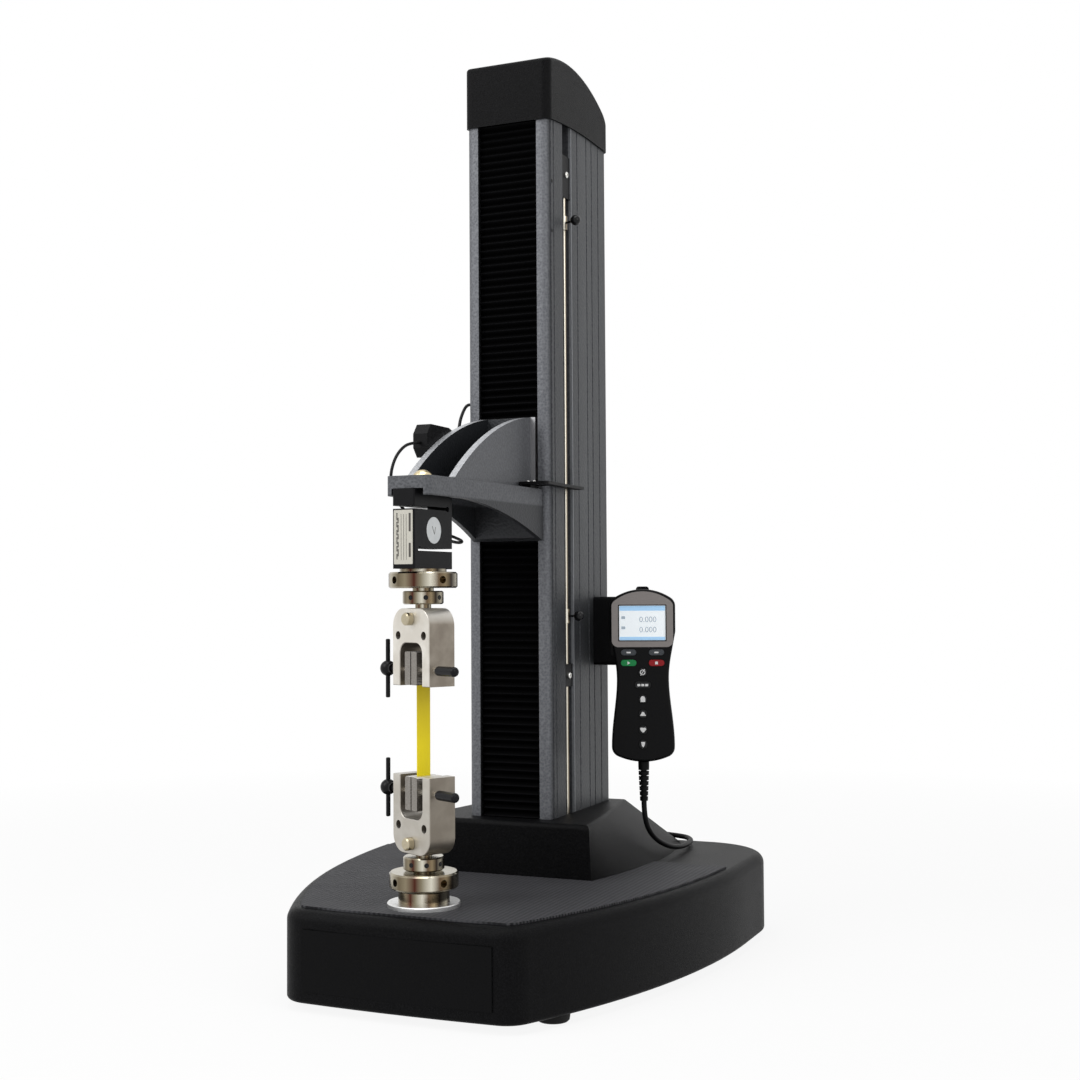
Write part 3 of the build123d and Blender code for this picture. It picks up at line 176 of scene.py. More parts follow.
class Finish(Shading):
    """One material, built round a Principled shader."""

    def __init__(self, name, **constants):
        self.material = bpy.data.materials.new(name)
        self.material.use_nodes = True
        super().__init__(self.material.node_tree)
        self.shader = self.tree.nodes["Principled BSDF"]
        for key, value in constants.items():
            self.shader.inputs[key.replace("_", " ")].default_value = value
        self.place = self.node("ShaderNodeTexCoord", output="Object")

    def axes(self, vector):
        return [self.node("ShaderNodeSeparateXYZ", None, {0: vector}, axis) for axis in "XYZ"]

    def normal(self):
        return self.axes(self.node("ShaderNodeNewGeometry", output="Normal"))

    def noise(self, vector, scale, detail=2.0, roughness=0.5):
        inputs = {"Vector": vector, "Scale": scale, "Detail": detail, "Roughness": roughness}
        return self.node("ShaderNodeTexNoise", None, inputs, "Fac")

    def cells(self, vector, scale, smooth=0.6):
        settings = {"feature": "SMOOTH_F1"}
        inputs = {"Vector": vector, "Scale": scale, "Smoothness": smooth}
        return self.node("ShaderNodeTexVoronoi", settings, inputs, "Distance")

    def stretched(self, vector, x, y, z):
        inputs = {0: vector, 1: (x, y, z)}
        return self.node("ShaderNodeVectorMath", {"operation": "MULTIPLY"}, inputs)

    def mixed(self, low, high, mask):
        """From one colour to another as the mask goes from 0 to 1."""
        ends = [end if isinstance(end, Signal) else (*end, 1) for end in (low, high)]
        inputs = {MIX_FACTOR: mask, MIX_COLOURS[0]: ends[0], MIX_COLOURS[1]: ends[1]}
        return self.node("ShaderNodeMix", {"data_type": "RGBA"}, inputs, MIX_COLOUR_OUT)

    def feed(self, **signals):
        """Link what varies over the surface into the shader."""
        for key, value in signals.items():
            self.tree.links.new(value.socket, self.shader.inputs[key.replace("_", " ")])

    def relief(self, height, distance, strength=1.0):
        inputs = {"Height": height, "Distance": distance, "Strength": strength}
        self.feed(Normal=self.node("ShaderNodeBump", None, inputs))


# Finishes

DIMPLES = 430
DEEP_BLACK = (0.002, 0.002, 0.0025)


def crosshead_paint(name):
    """Hammered paint of the crosshead, with painted highlights on its rib edges and top face, and painted
    shade.
    """
    f = Finish(name, Metallic=0.3, Specular_IOR_Level=0.4)
    x, _, z = f.axes(f.place)
    dimples = f.cells(f.place, DIMPLES)
    ny, nz = f.normal()[1:]
    colour = f.mixed((0.068, 0.071, 0.078), (0.118, 0.122, 0.132), dimples.above(0.2, 0.6))
    # Painted highlight: rib edges that face up and forward are painted near white, as the light catches
    # them.
    painted_rib_highlight = (nz - ny).above(1.1, 0.15) * z.above(0.4945, 0.001) * (1 - abs(ny).above(0.985, 0.01))
    # Painted light: the plate's upward top face is painted a lighter, even grey.
    painted_top_light = nz.above(0.9, 0.08) * z.within(0.4925, 0.4945, 0.0005)
    colour = f.mixed(colour, (0.10, 0.105, 0.115), painted_top_light * 0.8)
    colour = f.mixed(colour, (0.50, 0.51, 0.53), painted_rib_highlight * (0.65 + dimples * 0.4))
    # Painted shade: the faces between the upper ribs are painted near black.
    between = (1 - abs(x).above(0.0198, 0.0004)) * z.above(0.497, 0.004) * (1 - nz.above(0.5, 0.2))
    colour = f.mixed(colour, (0.012, 0.014, 0.017), between * 0.9)
    # Painted shade: everything below the plate's skirts is painted darker.
    under = (1 - z.above(0.4755, 0.002)) * 0.75
    colour = f.mixed(colour, (0.012, 0.013, 0.015), under)
    f.feed(Base_Color=colour, Roughness=dimples * 0.15 + 0.40)
    f.relief(dimples, 0.0007, 0.4)
    return f


def column_paint(name):
    """Column's hammered paint: front painted lit, side painted in shade, painted light on the side, painted
    shade in groove and channel, painted highlight on the groove's rear lip.
    """
    f = Finish(name, Metallic=0.3, Specular_IOR_Level=0.4)
    x, y = f.axes(f.place)[:2]
    ny = f.normal()[1]
    dimples = f.cells(f.place, DIMPLES)
    grain = f.noise(f.stretched(f.place, 1, 1, 0.25), 700, 2)
    # Lit and shaded copies of one paint: the side is painted dark as painted shade and the front-facing
    # strips bright as lit; corner picks the faces that face the front.
    side = f.mixed((0.030, 0.032, 0.036), (0.048, 0.051, 0.056), dimples.above(0.2, 0.6))
    strip = f.mixed((0.098, 0.102, 0.114), (0.165, 0.170, 0.184), dimples.above(0.15, 0.65))
    corner = (0 - ny).above(0.35, 0.5)
    colour = f.mixed(side, strip, corner)
    # Painted light: two lighter bands across the side face.
    painted_side_light = y.within(0.055, 0.10, 0.04) * 0.35 + y.within(0.12, 0.15, 0.02) * 0.25
    colour = f.mixed(colour, (0.10, 0.105, 0.11), painted_side_light * (1 - corner))
    # Painted shade: the side groove is painted near black.
    groove = y.within(0.0288, 0.0533, 0.0004) * (1 - abs(x).above(0.0465, 0.0008))
    colour = f.mixed(colour, (0.004, 0.004, 0.005), groove)
    # Painted highlight: the groove's rear lip is painted bright.
    lip = y.within(0.0529, 0.0548, 0.0004) * abs(x).above(0.0440, 0.001)
    colour = f.mixed(colour, (0.30, 0.31, 0.33), lip * 0.8)
    # Painted shade: the inside of the column's channel is painted near black.
    painted_channel_shade = 1 - abs(x).above(0.0342, 0.0006)
    colour = f.mixed(colour, (0.006, 0.006, 0.007), painted_channel_shade * y.above(-0.010, 0.001))
    f.feed(Base_Color=colour, Roughness=grain * 0.2 + 0.40)
    f.relief(dimples, 0.0007, 0.4)
    return f


def textured_black(name):
    """Fine leathery black paint of the base, plinth and cap."""
    f = Finish(name, Specular_IOR_Level=0.06)
    grain = f.noise(f.place, 900, 3, 0.6)
    cloud = f.noise(f.place, 14, 3)
    colour = f.mixed((0.0018, 0.0018, 0.0021), (0.0075, 0.0075, 0.0083), grain.above(0.42, 0.3))
    f.feed(Base_Color=colour, Roughness=0.34 + grain * 0.1 + cloud * 0.08)
    f.relief(grain, 0.0006, 0.75)
    return f


def mat_rubber(name):
    """Grey mat with fine ribs across the base, painted darker in their troughs as painted shade."""
    f = Finish(name, Specular_IOR_Level=0.12)
    x, y = f.axes(f.place)[:2]
    ribs = (y * (2 * pi / 0.0034)).math("SINE")
    cross = (x * (2 * pi / 0.0052)).math("SINE")
    height = ribs * 0.7 + cross * 0.3
    wear = f.noise(f.place, 22, 4)
    # Painted shade: the ribs' troughs are painted darker and their crests lighter, with random tone from
    # the noise.
    light = height.above(-0.5, 1.2) * 0.75 + wear * 0.15
    colour = f.mixed((0.012, 0.012, 0.0135), (0.098, 0.098, 0.106), light)
    f.feed(Base_Color=colour, Roughness=0.52 + wear * 0.2)
    f.relief(height, 0.0005, 0.6)
    return f


def rubber(name, colour, grain_scale=1200, rough=0.6):
    """Matt rubber with a fine grain."""
    f = Finish(name, Specular_IOR_Level=0.15)
    grain = f.noise(f.place, grain_scale, 2)
    light = tuple(2.0 * channel + 0.003 for channel in colour)
    f.feed(Base_Color=f.mixed(colour, light, grain.above(0.5, 0.3) * 0.5), Roughness=rough + grain * 0.15)
    f.relief(grain, 0.0002, 0.4)
    return f


def bellows_cloth(name):
    """Coated cloth of the bellows, with a painted sheen on the front of each fold."""
    f = Finish(name, Specular_IOR_Level=0.04)
    y = f.axes(f.place)[1]
    weave = f.noise(f.stretched(f.place, 1, 1, 3), 900, 2)
    # Painted sheen: the front of each fold is painted lighter where light catches it.
    fold = 1 - y.above(-0.00725, 0.0012)
    colour = f.mixed((0.0012, 0.0012, 0.0014), (0.0036, 0.0036, 0.0044), fold * (0.3 + weave * 0.7))
    f.feed(Base_Color=colour, Roughness=0.45 + weave * 0.2)
    f.relief(weave, 0.0002, 0.5)
    return f


def brushed(name, base, dark, rough=0.3, direction=(1, 1, 12), scale=260, metal=1.0):
    """Machined metal with fine marks along one direction."""
    f = Finish(name, Metallic=metal)
    marks = f.noise(f.stretched(f.place, *direction), scale, 3, 0.6)
    spots = f.noise(f.place, 30, 3)
    f.feed(
        Base_Color=f.mixed(base, dark, marks.above(0.4, 0.5) * 0.6 + spots.above(0.5, 0.3) * 0.15),
        Roughness=marks * 0.16 + rough,
    )
    f.relief(marks, 0.0001, 0.35)
    return f


def rod_steel(name):
    """Drawn rod: a painted highlight as one bright line down its front, and painted shade, warm and dark,
    to its sides.
    """
    f = Finish(name, Metallic=1.0)
    nx, ny = f.normal()[:2]
    painted_light_facing = nx * 0.35 + ny * -0.94
    marks = f.noise(f.stretched(f.place, 1, 1, 0.05), 1500, 2)
    # Painted shade to the rod's sides and a painted highlight down its front.
    colour = f.mixed((0.035, 0.03, 0.025), (0.30, 0.25, 0.18), painted_light_facing.above(0.35, 0.4))
    colour = f.mixed(colour, (0.80, 0.76, 0.66), painted_light_facing.above(0.86, 0.1))
    f.feed(Base_Color=colour, Roughness=marks * 0.1 + 0.24)
    f.relief(marks, 0.00005, 0.3)
    return f


def turned_nickel(name, shift=0.0):
    """Bright turned nickel with a painted reflection: the warm and dark stripes of a workshop round it."""
    f = Finish(name, Metallic=1.0)
    x, y = f.axes(f.place)[:2]
    around = (y - LOAD_Y).math("ARCTAN2", x) / (2 * pi) + 0.5 + shift
    rings = f.noise(f.stretched(f.place, 0.02, 0.02, 1), 2600, 2)
    # Painted reflection: warm and dark stripes round the load axis stand in for a workshop mirrored in the
    # nickel.
    painted_reflection_bands = f.node(
        "ShaderNodeValToRGB",
        {
            "stops": [
                (0.00, (0.24, 0.215, 0.155)),
                (0.09, (0.07, 0.05, 0.035)),
                (0.14, (0.46, 0.42, 0.33)),
                (0.20, (0.15, 0.12, 0.075)),
                (0.24, (0.25, 0.21, 0.14)),
                (0.285, (0.07, 0.018, 0.012)),
                (0.315, (0.23, 0.20, 0.135)),
                (0.36, (0.66, 0.63, 0.53)),
                (0.40, (0.13, 0.085, 0.05)),
                (0.435, (0.24, 0.185, 0.11)),
                (0.475, (0.025, 0.018, 0.015)),
                (0.53, (0.34, 0.31, 0.235)),
                (0.60, (0.16, 0.12, 0.10)),
                (0.70, (0.44, 0.41, 0.33)),
                (0.84, (0.19, 0.165, 0.12)),
                (1.00, (0.24, 0.215, 0.155)),
            ]
        },
        {0: around},
    )
    # Flat faces get one plain colour instead of the painted reflection.
    flat = abs(f.normal()[2]).above(0.6, 0.3)
    colour = f.mixed(painted_reflection_bands, (0.42, 0.385, 0.30), flat)
    f.feed(Base_Color=colour, Roughness=rings * 0.12 + 0.14)
    f.relief(rings, 0.00008, 0.4)
    return f


def satin_grip(name):
    """Bead-blasted grip bodies: front faces painted pale as lit, sides painted warm grey as shaded, painted
    highlights on the shoulders, painted shade beneath and on the lower grip.
    """
    f = Finish(name, Metallic=0.75, Specular_IOR_Level=0.5)
    z = f.axes(f.place)[2]
    nx, ny, nz = f.normal()
    front = nx * -sin(-GRIP_YAW) + ny * -cos(GRIP_YAW)
    blast = f.noise(f.place, 1500, 3, 0.6)
    cloud = f.noise(f.place, 60, 3)
    # Lit and shaded copies of one finish: sides painted warm grey as painted shade, front faces painted
    # pale as lit.
    side = f.mixed((0.215, 0.185, 0.15), (0.30, 0.265, 0.22), cloud.above(0.4, 0.3))
    lit_face_colour = f.mixed((0.66, 0.625, 0.56), (0.78, 0.75, 0.69), cloud.above(0.42, 0.3))
    colour = f.mixed(side, lit_face_colour, front.above(0.55, 0.3))
    # Painted highlight: faces that point upward are painted bright.
    colour = f.mixed(colour, (0.80, 0.78, 0.73), nz.above(0.12, 0.7) * 0.8)
    # Painted shade: faces that point downward are painted dark.
    colour = f.mixed(colour, (0.09, 0.08, 0.07), (0 - nz).above(0.3, 0.6) * 0.7)
    # Painted shade: the lower grip is painted darker than the upper one.
    colour = f.mixed(colour, (0.19, 0.17, 0.14), (1 - z.above(0.20, 0.06)) * 0.42)
    f.feed(Base_Color=colour, Roughness=0.34 + blast * 0.16)
    f.relief(blast, 0.00015, 0.4)
    return f


def toothed_jaw(name):
    """Jaws: grey steel with fine clamping teeth, and painted highlights on their tops."""
    f = Finish(name, Metallic=0.85)
    z = f.axes(f.place)[2]
    nx, _, nz = f.normal()
    marks = f.noise(f.stretched(f.place, 1, 1, 6), 500, 3)
    colour = f.mixed((0.20, 0.185, 0.165), (0.34, 0.32, 0.29), marks.above(0.4, 0.3))
    # Painted highlight: the jaws' upward tops are painted bright.
    colour = f.mixed(colour, (0.72, 0.70, 0.66), nz.above(0.4, 0.4))
    teeth = (z * (2 * pi / 0.0015)).math("SINE")
    f.feed(Base_Color=colour, Roughness=0.3 + marks * 0.2)
    f.relief(teeth * abs(nx).above(0.7, 0.1), 0.0002, 0.5)
    return f


def clamp_screw(name):
    """Clamp screws: gloss black handles, and steel where the shaft shows in the grip."""
    f = Finish(name, Specular_IOR_Level=0.15)
    x, y = f.axes(f.place)[:2]
    along = abs(x * cos(GRIP_YAW) + (y - LOAD_Y) * sin(GRIP_YAW))
    steel = 1 - along.above(SHAFT_REACH, 0.0001)
    marks = f.noise(f.place, 300, 2)
    colour = f.mixed((0.003, 0.003, 0.004), (0.008, 0.008, 0.009), marks)
    colour = f.mixed(colour, (0.78, 0.76, 0.70), steel)
    f.feed(Base_Color=colour, Metallic=steel, Roughness=0.26 - steel * 0.08 + marks * 0.1)
    f.relief(marks, 0.0001, 0.15)
    return f


def gloss_black(name):
    """Gloss black mouldings."""
    f = Finish(name, Specular_IOR_Level=0.15, Coat_Roughness=0.12)
    grain = f.noise(f.place, 300, 2)
    f.feed(
        Base_Color=f.mixed((0.003, 0.003, 0.004), (0.008, 0.008, 0.009), grain),
        Roughness=0.2 + grain * 0.12,
        Coat_Weight=0.08 + grain * 0.1,
    )
    f.relief(grain, 0.0001, 0.15)
    return f


def moulded(name, dark, light, rough=0.4, specular=0.2):
    """Fine-grained moulded plastic or satin paint."""
    f = Finish(name, Specular_IOR_Level=specular)
    grain = f.noise(f.place, 1300, 2, 0.6)
    cloud = f.noise(f.place, 40, 2)
    f.feed(Base_Color=f.mixed(dark, light, grain.above(0.35, 0.4)), Roughness=rough + cloud * 0.12)
    f.relief(grain, 0.0002, 0.5)
    return f


def handset_case(name):
    """Handset shell: satin black, with the grey metallic bezel round the display."""
    f = Finish(name, Specular_IOR_Level=0.1)
    x, y, z = f.axes(f.place)
    depth = (x - HANDSET_PLACE[0]) * sin(HANDSET_YAW) - (y - HANDSET_PLACE[1]) * cos(HANDSET_YAW)
    bezel = depth.above(HANDSET_FRONT + 0.0001, 0.0001) * z.above(0.3262, 0.0002)
    grain = f.noise(f.place, 1300, 2, 0.6)
    brushing = f.noise(f.stretched(f.place, 1, 1, 30), 200, 2)
    case = f.mixed((0.0015, 0.0015, 0.0018), (0.005, 0.005, 0.0055), grain.above(0.35, 0.4))
    trim = f.mixed((0.17, 0.155, 0.15), (0.27, 0.25, 0.24), brushing)
    f.feed(
        Base_Color=f.mixed(case, trim, bezel),
        Metallic=bezel * 0.6,
        Roughness=0.36 + grain * 0.12 - bezel * 0.08,
    )
    f.relief(grain, 0.00015, 0.4)
    return f


def strip_elastomer(name):
    """Yellow test strip with a faint painted glow, olive in the shade of the upper grip, and painted shade
    at the lower grip.
    """
    # The emission makes the strip glow faintly in its own colour: painted light.
    f = Finish(name, Specular_IOR_Level=0.35, Emission_Strength=0.12)
    z = f.axes(f.place)[2]
    fibre = f.noise(f.stretched(f.place, 1, 1, 0.08), 900, 3)
    colour = f.mixed((0.76, 0.60, 0.002), (0.84, 0.69, 0.006), fibre)
    colour = f.mixed(colour, (0.50, 0.38, 0.006), z.above(0.242, 0.045) * 0.75)
    # Painted shade: the strip is darker where it sits in the lower grip.
    colour = f.mixed(colour, (0.60, 0.50, 0.004), (1 - z.above(0.212, 0.008)) * 0.5)
    f.feed(Base_Color=colour, Emission_Color=colour, Roughness=0.38 + fibre * 0.2)
    f.relief(fibre, 0.0001, 0.4)
    return f


def screen_glass(name, colour, edge):
    """Lit liquid-crystal panel with a faint pixel grid."""
    f = Finish(name, Specular_IOR_Level=0.4, Roughness=0.25, Emission_Strength=0.35)
    z = f.axes(f.place)[2]
    grid = (z * (2 * pi / 0.0006)).math("SINE") * 0.5 + 0.5
    cloud = f.noise(f.place, 45, 2)
    mixed = f.mixed(colour, edge, grid * 0.25 + cloud * 0.4)
    f.feed(Base_Color=mixed, Emission_Color=mixed)
    return f


def printed(name, colour, other, rough=0.45):
    """Printed or painted mark."""
    f = Finish(name, Specular_IOR_Level=0.3)
    grain = f.noise(f.place, 700, 2)
    f.feed(Base_Color=f.mixed(colour, other, grain), Roughness=rough + grain * 0.1)
    return f


def silver_sticker(name):
    """Round calibration sticker: pale foil."""
    f = Finish(name, Metallic=0.5)
    sheen = f.noise(f.place, 90, 3)
    f.feed(Base_Color=f.mixed((0.50, 0.52, 0.53), (0.70, 0.72, 0.72), sheen), Roughness=0.35 + sheen * 0.2)
    return f


# Each finish: the function that makes it, and its values
FINISHES = {
    "crosshead_paint": (crosshead_paint,),
    "column_paint": (column_paint,),
    "textured_black": (textured_black,),
    "mat_rubber": (mat_rubber,),
    "foot_rubber": (rubber, (0.012, 0.012, 0.012), 500),
    "cord_rubber": (rubber, (0.004, 0.004, 0.0045), 1500, 0.42),
    "bellows_cloth": (bellows_cloth,),
    "plain_steel": (brushed, (0.44, 0.44, 0.45), (0.24, 0.24, 0.25), 0.32),
    "bright_steel": (brushed, (0.82, 0.81, 0.78), (0.5, 0.48, 0.44), 0.16),
    "rod_steel": (rod_steel,),
    "warm_pin": (brushed, (0.52, 0.46, 0.33), (0.26, 0.22, 0.15), 0.22),
    "gilt_bolt": (brushed, (0.78, 0.66, 0.42), (0.42, 0.32, 0.16), 0.18),
    "aluminium_disc": (brushed, (0.78, 0.78, 0.77), (0.5, 0.5, 0.5), 0.24),
    "turned_nickel": (turned_nickel,),
    "collar_nickel": (turned_nickel, 0.045),
    "satin_grip": (satin_grip,),
    "toothed_jaw": (toothed_jaw,),
    "gloss_black": (gloss_black,),
    "clamp_screw": (clamp_screw,),
    "cell_black": (moulded, DEEP_BLACK, (0.006, 0.006, 0.007), 0.36, 0.12),
    "black_plastic": (moulded, DEEP_BLACK, (0.006, 0.006, 0.007), 0.4, 0.12),
    "key_black": (moulded, (0.003, 0.003, 0.0035), (0.008, 0.008, 0.009), 0.3),
    "key_grey": (moulded, (0.045, 0.05, 0.056), (0.075, 0.08, 0.09), 0.4),
    "key_green": (moulded, (0.01, 0.20, 0.055), (0.015, 0.27, 0.08), 0.35),
    "key_red": (moulded, (0.26, 0.01, 0.014), (0.34, 0.015, 0.02), 0.35),
    "handset_case": (handset_case,),
    "strip_elastomer": (strip_elastomer,),
    "screen_white": (screen_glass, (0.80, 0.84, 0.86), (0.72, 0.78, 0.84)),
    "screen_blue": (screen_glass, (0.32, 0.55, 0.80), (0.40, 0.62, 0.85)),
    "screen_grey": (screen_glass, (0.30, 0.36, 0.42), (0.36, 0.42, 0.48)),
    "mark_white": (printed, (0.80, 0.80, 0.80), (0.70, 0.70, 0.70)),
    "mark_dark": (printed, (0.06, 0.055, 0.05), (0.10, 0.09, 0.08)),
    "label_cream": (printed, (0.64, 0.62, 0.55), (0.56, 0.54, 0.47)),
    "silver_sticker": (silver_sticker,),
    "panel_film": (moulded, (0.0018, 0.0018, 0.0021), (0.0045, 0.0045, 0.005), 0.28, 0.07),
}

finish_store = {}


def finish(name):
    """The material of that name, made once."""
    if name not in finish_store:
        maker, *values = FINISHES[name]
        finish_store[name] = maker(name, *values).material
    return finish_store[name]


NODE_FINISHES = {
    "textured_black": ["base_housing", "column_plinth", "top_cap"],
    "column_paint": ["column_extrusion"],
    "crosshead_paint": ["crosshead_casting"],
    "mat_rubber": ["work_mat"],
    "foot_rubber": ["base_feet"],
    "plain_steel": ["base_plate", "ball_screw", "screw_bearings", "carriage"],
    "rod_steel": ["limit_rod", "upper_stop", "lower_stop"],
    "gilt_bolt": ["cell_bolt"],
    "aluminium_disc": ["base_disc"],
    "turned_nickel": ["upper_lock_ring", "lower_lock_ring"],
    "collar_nickel": ["upper_adapter", "lower_adapter"],
    "warm_pin": ["upper_clevis_pin", "lower_clevis_pin"],
    "satin_grip": ["upper_grip_body", "lower_grip_body"],
    "toothed_jaw": ["upper_left_jaw", "upper_right_jaw", "lower_left_jaw", "lower_right_jaw"],
    "clamp_screw": [
        "upper_t_handle_screw", "lower_t_handle_screw", "upper_sleeve_screw", "lower_sleeve_screw",
    ],
    "gloss_black": ["upper_stop_knob", "lower_stop_knob", "power_switch"],
    "cell_black": ["load_cell"],
    "black_plastic": [
        "drive_motor", "rod_guides", "limit_flag", "cell_connector", "handset_holder", "mains_inlet",
    ],
    "handset_case": ["handset_front", "handset_back"],
    "key_grey": ["function_key_left", "function_key_right"],
    "key_green": ["start_key"],
    "key_red": ["stop_key"],
    "key_black": [
        "zero_key", "menu_key", "fast_up_key", "slow_up_key", "slow_down_key", "fast_down_key",
    ],
}


def added(name, data):
    """A new object in the scene."""
    made = bpy.data.objects.new(name, data)
    bpy.context.scene.collection.objects.link(made)
    return made


# Forms

def facing_front():
    """Turns a plate drawn in X and Y so that it stands, drawn side to the front."""
    return Matrix.Rotation(pi / 2, 4, "X")


def facing_right():
    """Turns a plate drawn in X and Y so that it stands, drawn side to the right."""
    return Matrix(((0, 0, 1, 0), (1, 0, 0, 0), (0, 1, 0, 0), (0, 0, 0, 1)))


def shifted(x, y, z):
    """Place that far from the origin."""
    return Matrix.Translation((x, y, z))


def on_handset(x, depth, z):
    """Place on the handset's front, at a depth in front of its middle plane."""
    middle = shifted(*HANDSET_PLACE) @ Matrix.Rotation(HANDSET_YAW, 4, "Z")
    return middle @ shifted(x, -depth, z) @ facing_front()


def on_cell(x, y, z, turn):
    """Place on the load cell, in its own turned frame."""
    return shifted(0, LOAD_Y, 0) @ Matrix.Rotation(CELL_YAW, 4, "Z") @ shifted(x, y, z) @ turn


def piece(name, form, finish_name, body, place=None):
    """Make a piece from a bmesh, give it its finish and let it ride on a body."""
    if place is not None:
        bmesh.ops.transform(form, matrix=place, verts=form.verts)
    bmesh.ops.recalc_face_normals(form, faces=form.faces)
    mesh = bpy.data.meshes.new(name)
    form.to_mesh(mesh)
    form.free()
    mesh.polygons.foreach_set("use_smooth", [True] * len(mesh.polygons))
    mesh.set_sharp_from_angle(angle=radians(32))
    made = added(name, mesh)
    mesh.materials.append(finish(finish_name))
    if body:
        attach(made, body)
    return made


def extruded(outline, thickness, edge=0.0, segments=2):
    """Plate from an outline in X and Y, standing up from Z = 0, with its upper edge rounded."""
    form = bmesh.new()
    low = form.faces.new([form.verts.new((x, y, 0)) for x, y in outline])
    lifted = bmesh.ops.extrude_face_region(form, geom=[low])["geom"]
    top = [item for item in lifted if isinstance(item, bmesh.types.BMVert)]
    bmesh.ops.translate(form, vec=(0, 0, thickness), verts=top)
    if edge:
        rim = [e for e in form.edges if all(v in top for v in e.verts)]
        bmesh.ops.bevel(form, geom=rim, offset=edge, segments=segments, affect="EDGES")
    return form


def rounded_rectangle(width, height, corner, steps=5):
    """Outline of a rectangle with round corners."""
    points = []
    for quarter, (sx, sy) in enumerate(((1, 1), (-1, 1), (-1, -1), (1, -1))):
        for step in range(steps + 1):
            angle = (quarter + step / steps) * pi / 2
            x = sx * (width / 2 - corner) + corner * cos(angle)
            y = sy * (height / 2 - corner) + corner * sin(angle)
            points.append((x, y))
    return points


def ring_outline(radius, count=32):
    """Outline of a circle."""
    return [(radius * cos(2 * pi * i / count), radius * sin(2 * pi * i / count)) for i in range(count)]


def lathed(profile, steps=40):
    """Turned form about Z from (radius, height) points."""
    form = bmesh.new()
    line = [form.verts.new((radius, 0, height)) for radius, height in profile]
    edges = [form.edges.new(pair) for pair in zip(line, line[1:])]
    bmesh.ops.spin(
        form, geom=line + edges, cent=(0, 0, 0), axis=(0, 0, 1), angle=2 * pi, steps=steps,
        use_merge=True,
    )
    bmesh.ops.remove_doubles(form, verts=form.verts, dist=1e-6)
    return form


def joined(*forms):
    """Several forms as one."""
    whole = bmesh.new()
    for form in forms:
        mesh = bpy.data.meshes.new("part")
        form.to_mesh(mesh)
        form.free()
        whole.from_mesh(mesh)
        bpy.data.meshes.remove(mesh)
    return whole


def moved(form, x=0.0, y=0.0, z=0.0, turn=0.0):
    """The same form, turned about Z and moved."""
    matrix = shifted(x, y, z) @ Matrix.Rotation(turn, 4, "Z")
    bmesh.ops.transform(form, matrix=matrix, verts=form.verts)
    return form


def socket_screw(radius, height, socket):
    """Socket-head screw: turned head with a sunk round socket, standing on Z = 0."""
    edge = 0.18 * radius
    floor = 0.55 * height
    return lathed([
        (0, floor), (socket, floor), (socket, height), (radius - edge, height), (radius, height - edge),
        (radius, 0), (0, 0),
    ], 24)


# Pleated bellows and the test strip

def pleated_sheet(z_low, z_high, pitch, half_width, front, rear, thickness):
    """Closed pleated sheet with rounded folds across the column's channel."""
    pleats = round((z_high - z_low) / pitch)
    per_pleat = 8
    count = pleats * per_pleat
    depth = (rear - front) - thickness
    outer = []
    for index in range(count + 1):
        share = (index % per_pleat) / per_pleat
        rise = 1 - abs(2 * share - 1)
        rounded = 0.5 - 0.5 * cos(pi * rise)
        offset = 0.65 * rise + 0.35 * rounded
        z = z_low + (z_high - z_low) * index / count
        outer.append((front + depth * offset, z))
    form = bmesh.new()
    rows = []
    for y, z in outer:
        row = []
        for x in (-half_width, -0.9 * half_width, 0, 0.9 * half_width, half_width):
            row.append(form.verts.new((x, y, z)))
        rows.append(row)
    back = [[form.verts.new(v.co + Vector((0, thickness, 0))) for v in row] for row in rows]
    for index in range(count):
        for k in range(4):
            form.faces.new((rows[index][k], rows[index][k + 1], rows[index + 1][k + 1], rows[index + 1][k]))
            form.faces.new((back[index][k], back[index + 1][k], back[index + 1][k + 1], back[index][k + 1]))
        for k in (0, 4):
            form.faces.new((rows[index][k], rows[index + 1][k], back[index + 1][k], back[index][k]))
    for index in (0, count):
        for k in range(4):
            form.faces.new((rows[index][k], rows[index][k + 1], back[index][k + 1], back[index][k]))
    return form


def strip_form(width, thickness, z_low, z_high, rows=24):
    """Thin strip with softened edges, divided along its length."""
    outline = rounded_rectangle(thickness, width, 0.0004, 3)
    form = bmesh.new()
    levels = []
    for index in range(rows + 1):
        z = z_low + (z_high - z_low) * index / rows
        levels.append([form.verts.new((x, y, z)) for x, y in outline])
    for low, high in zip(levels, levels[1:]):
        for k in range(len(outline)):
            nxt = (k + 1) % len(outline)
            form.faces.new((low[k], low[nxt], high[nxt], high[k]))
    form.faces.new(levels[0])
    form.faces.new(levels[-1])
    return form


# Cords: the routes of the part's source, in metres

CELL_LEAD = [
    (0.00362, -0.16466, 0.437), (0.005, -0.146, 0.434), (0.003, -0.124, 0.436), (-0.014, -0.115, 0.442),
    (-0.027, -0.131, 0.448), (-0.0265, -0.154, 0.452), (-0.0255, -0.177, 0.457), (-0.025, -0.198, 0.465),
    (-0.0278, -0.213, 0.478), (-0.029, -0.217, 0.495), (-0.0295, -0.208, 0.512), (-0.031, -0.191, 0.524),
    (-0.033, -0.170, 0.5315), (-0.0345, -0.146, 0.534),
]
COLUMN_LEAD = [
    (-0.038, -0.0879, 0.545), (-0.038, -0.066, 0.545), (-0.043, -0.043, 0.554), (-0.052, -0.019, 0.574),
    (-0.057, 0.009, 0.593), (-0.057, 0.036, 0.588), (-0.0565, 0.051, 0.560), (-0.056, 0.054, 0.512),
    (-0.056, 0.059, 0.472), (-0.056, 0.077, 0.443), (-0.056, 0.102, 0.446), (-0.0555, 0.117, 0.474),
    (-0.055, 0.117, 0.504),
]
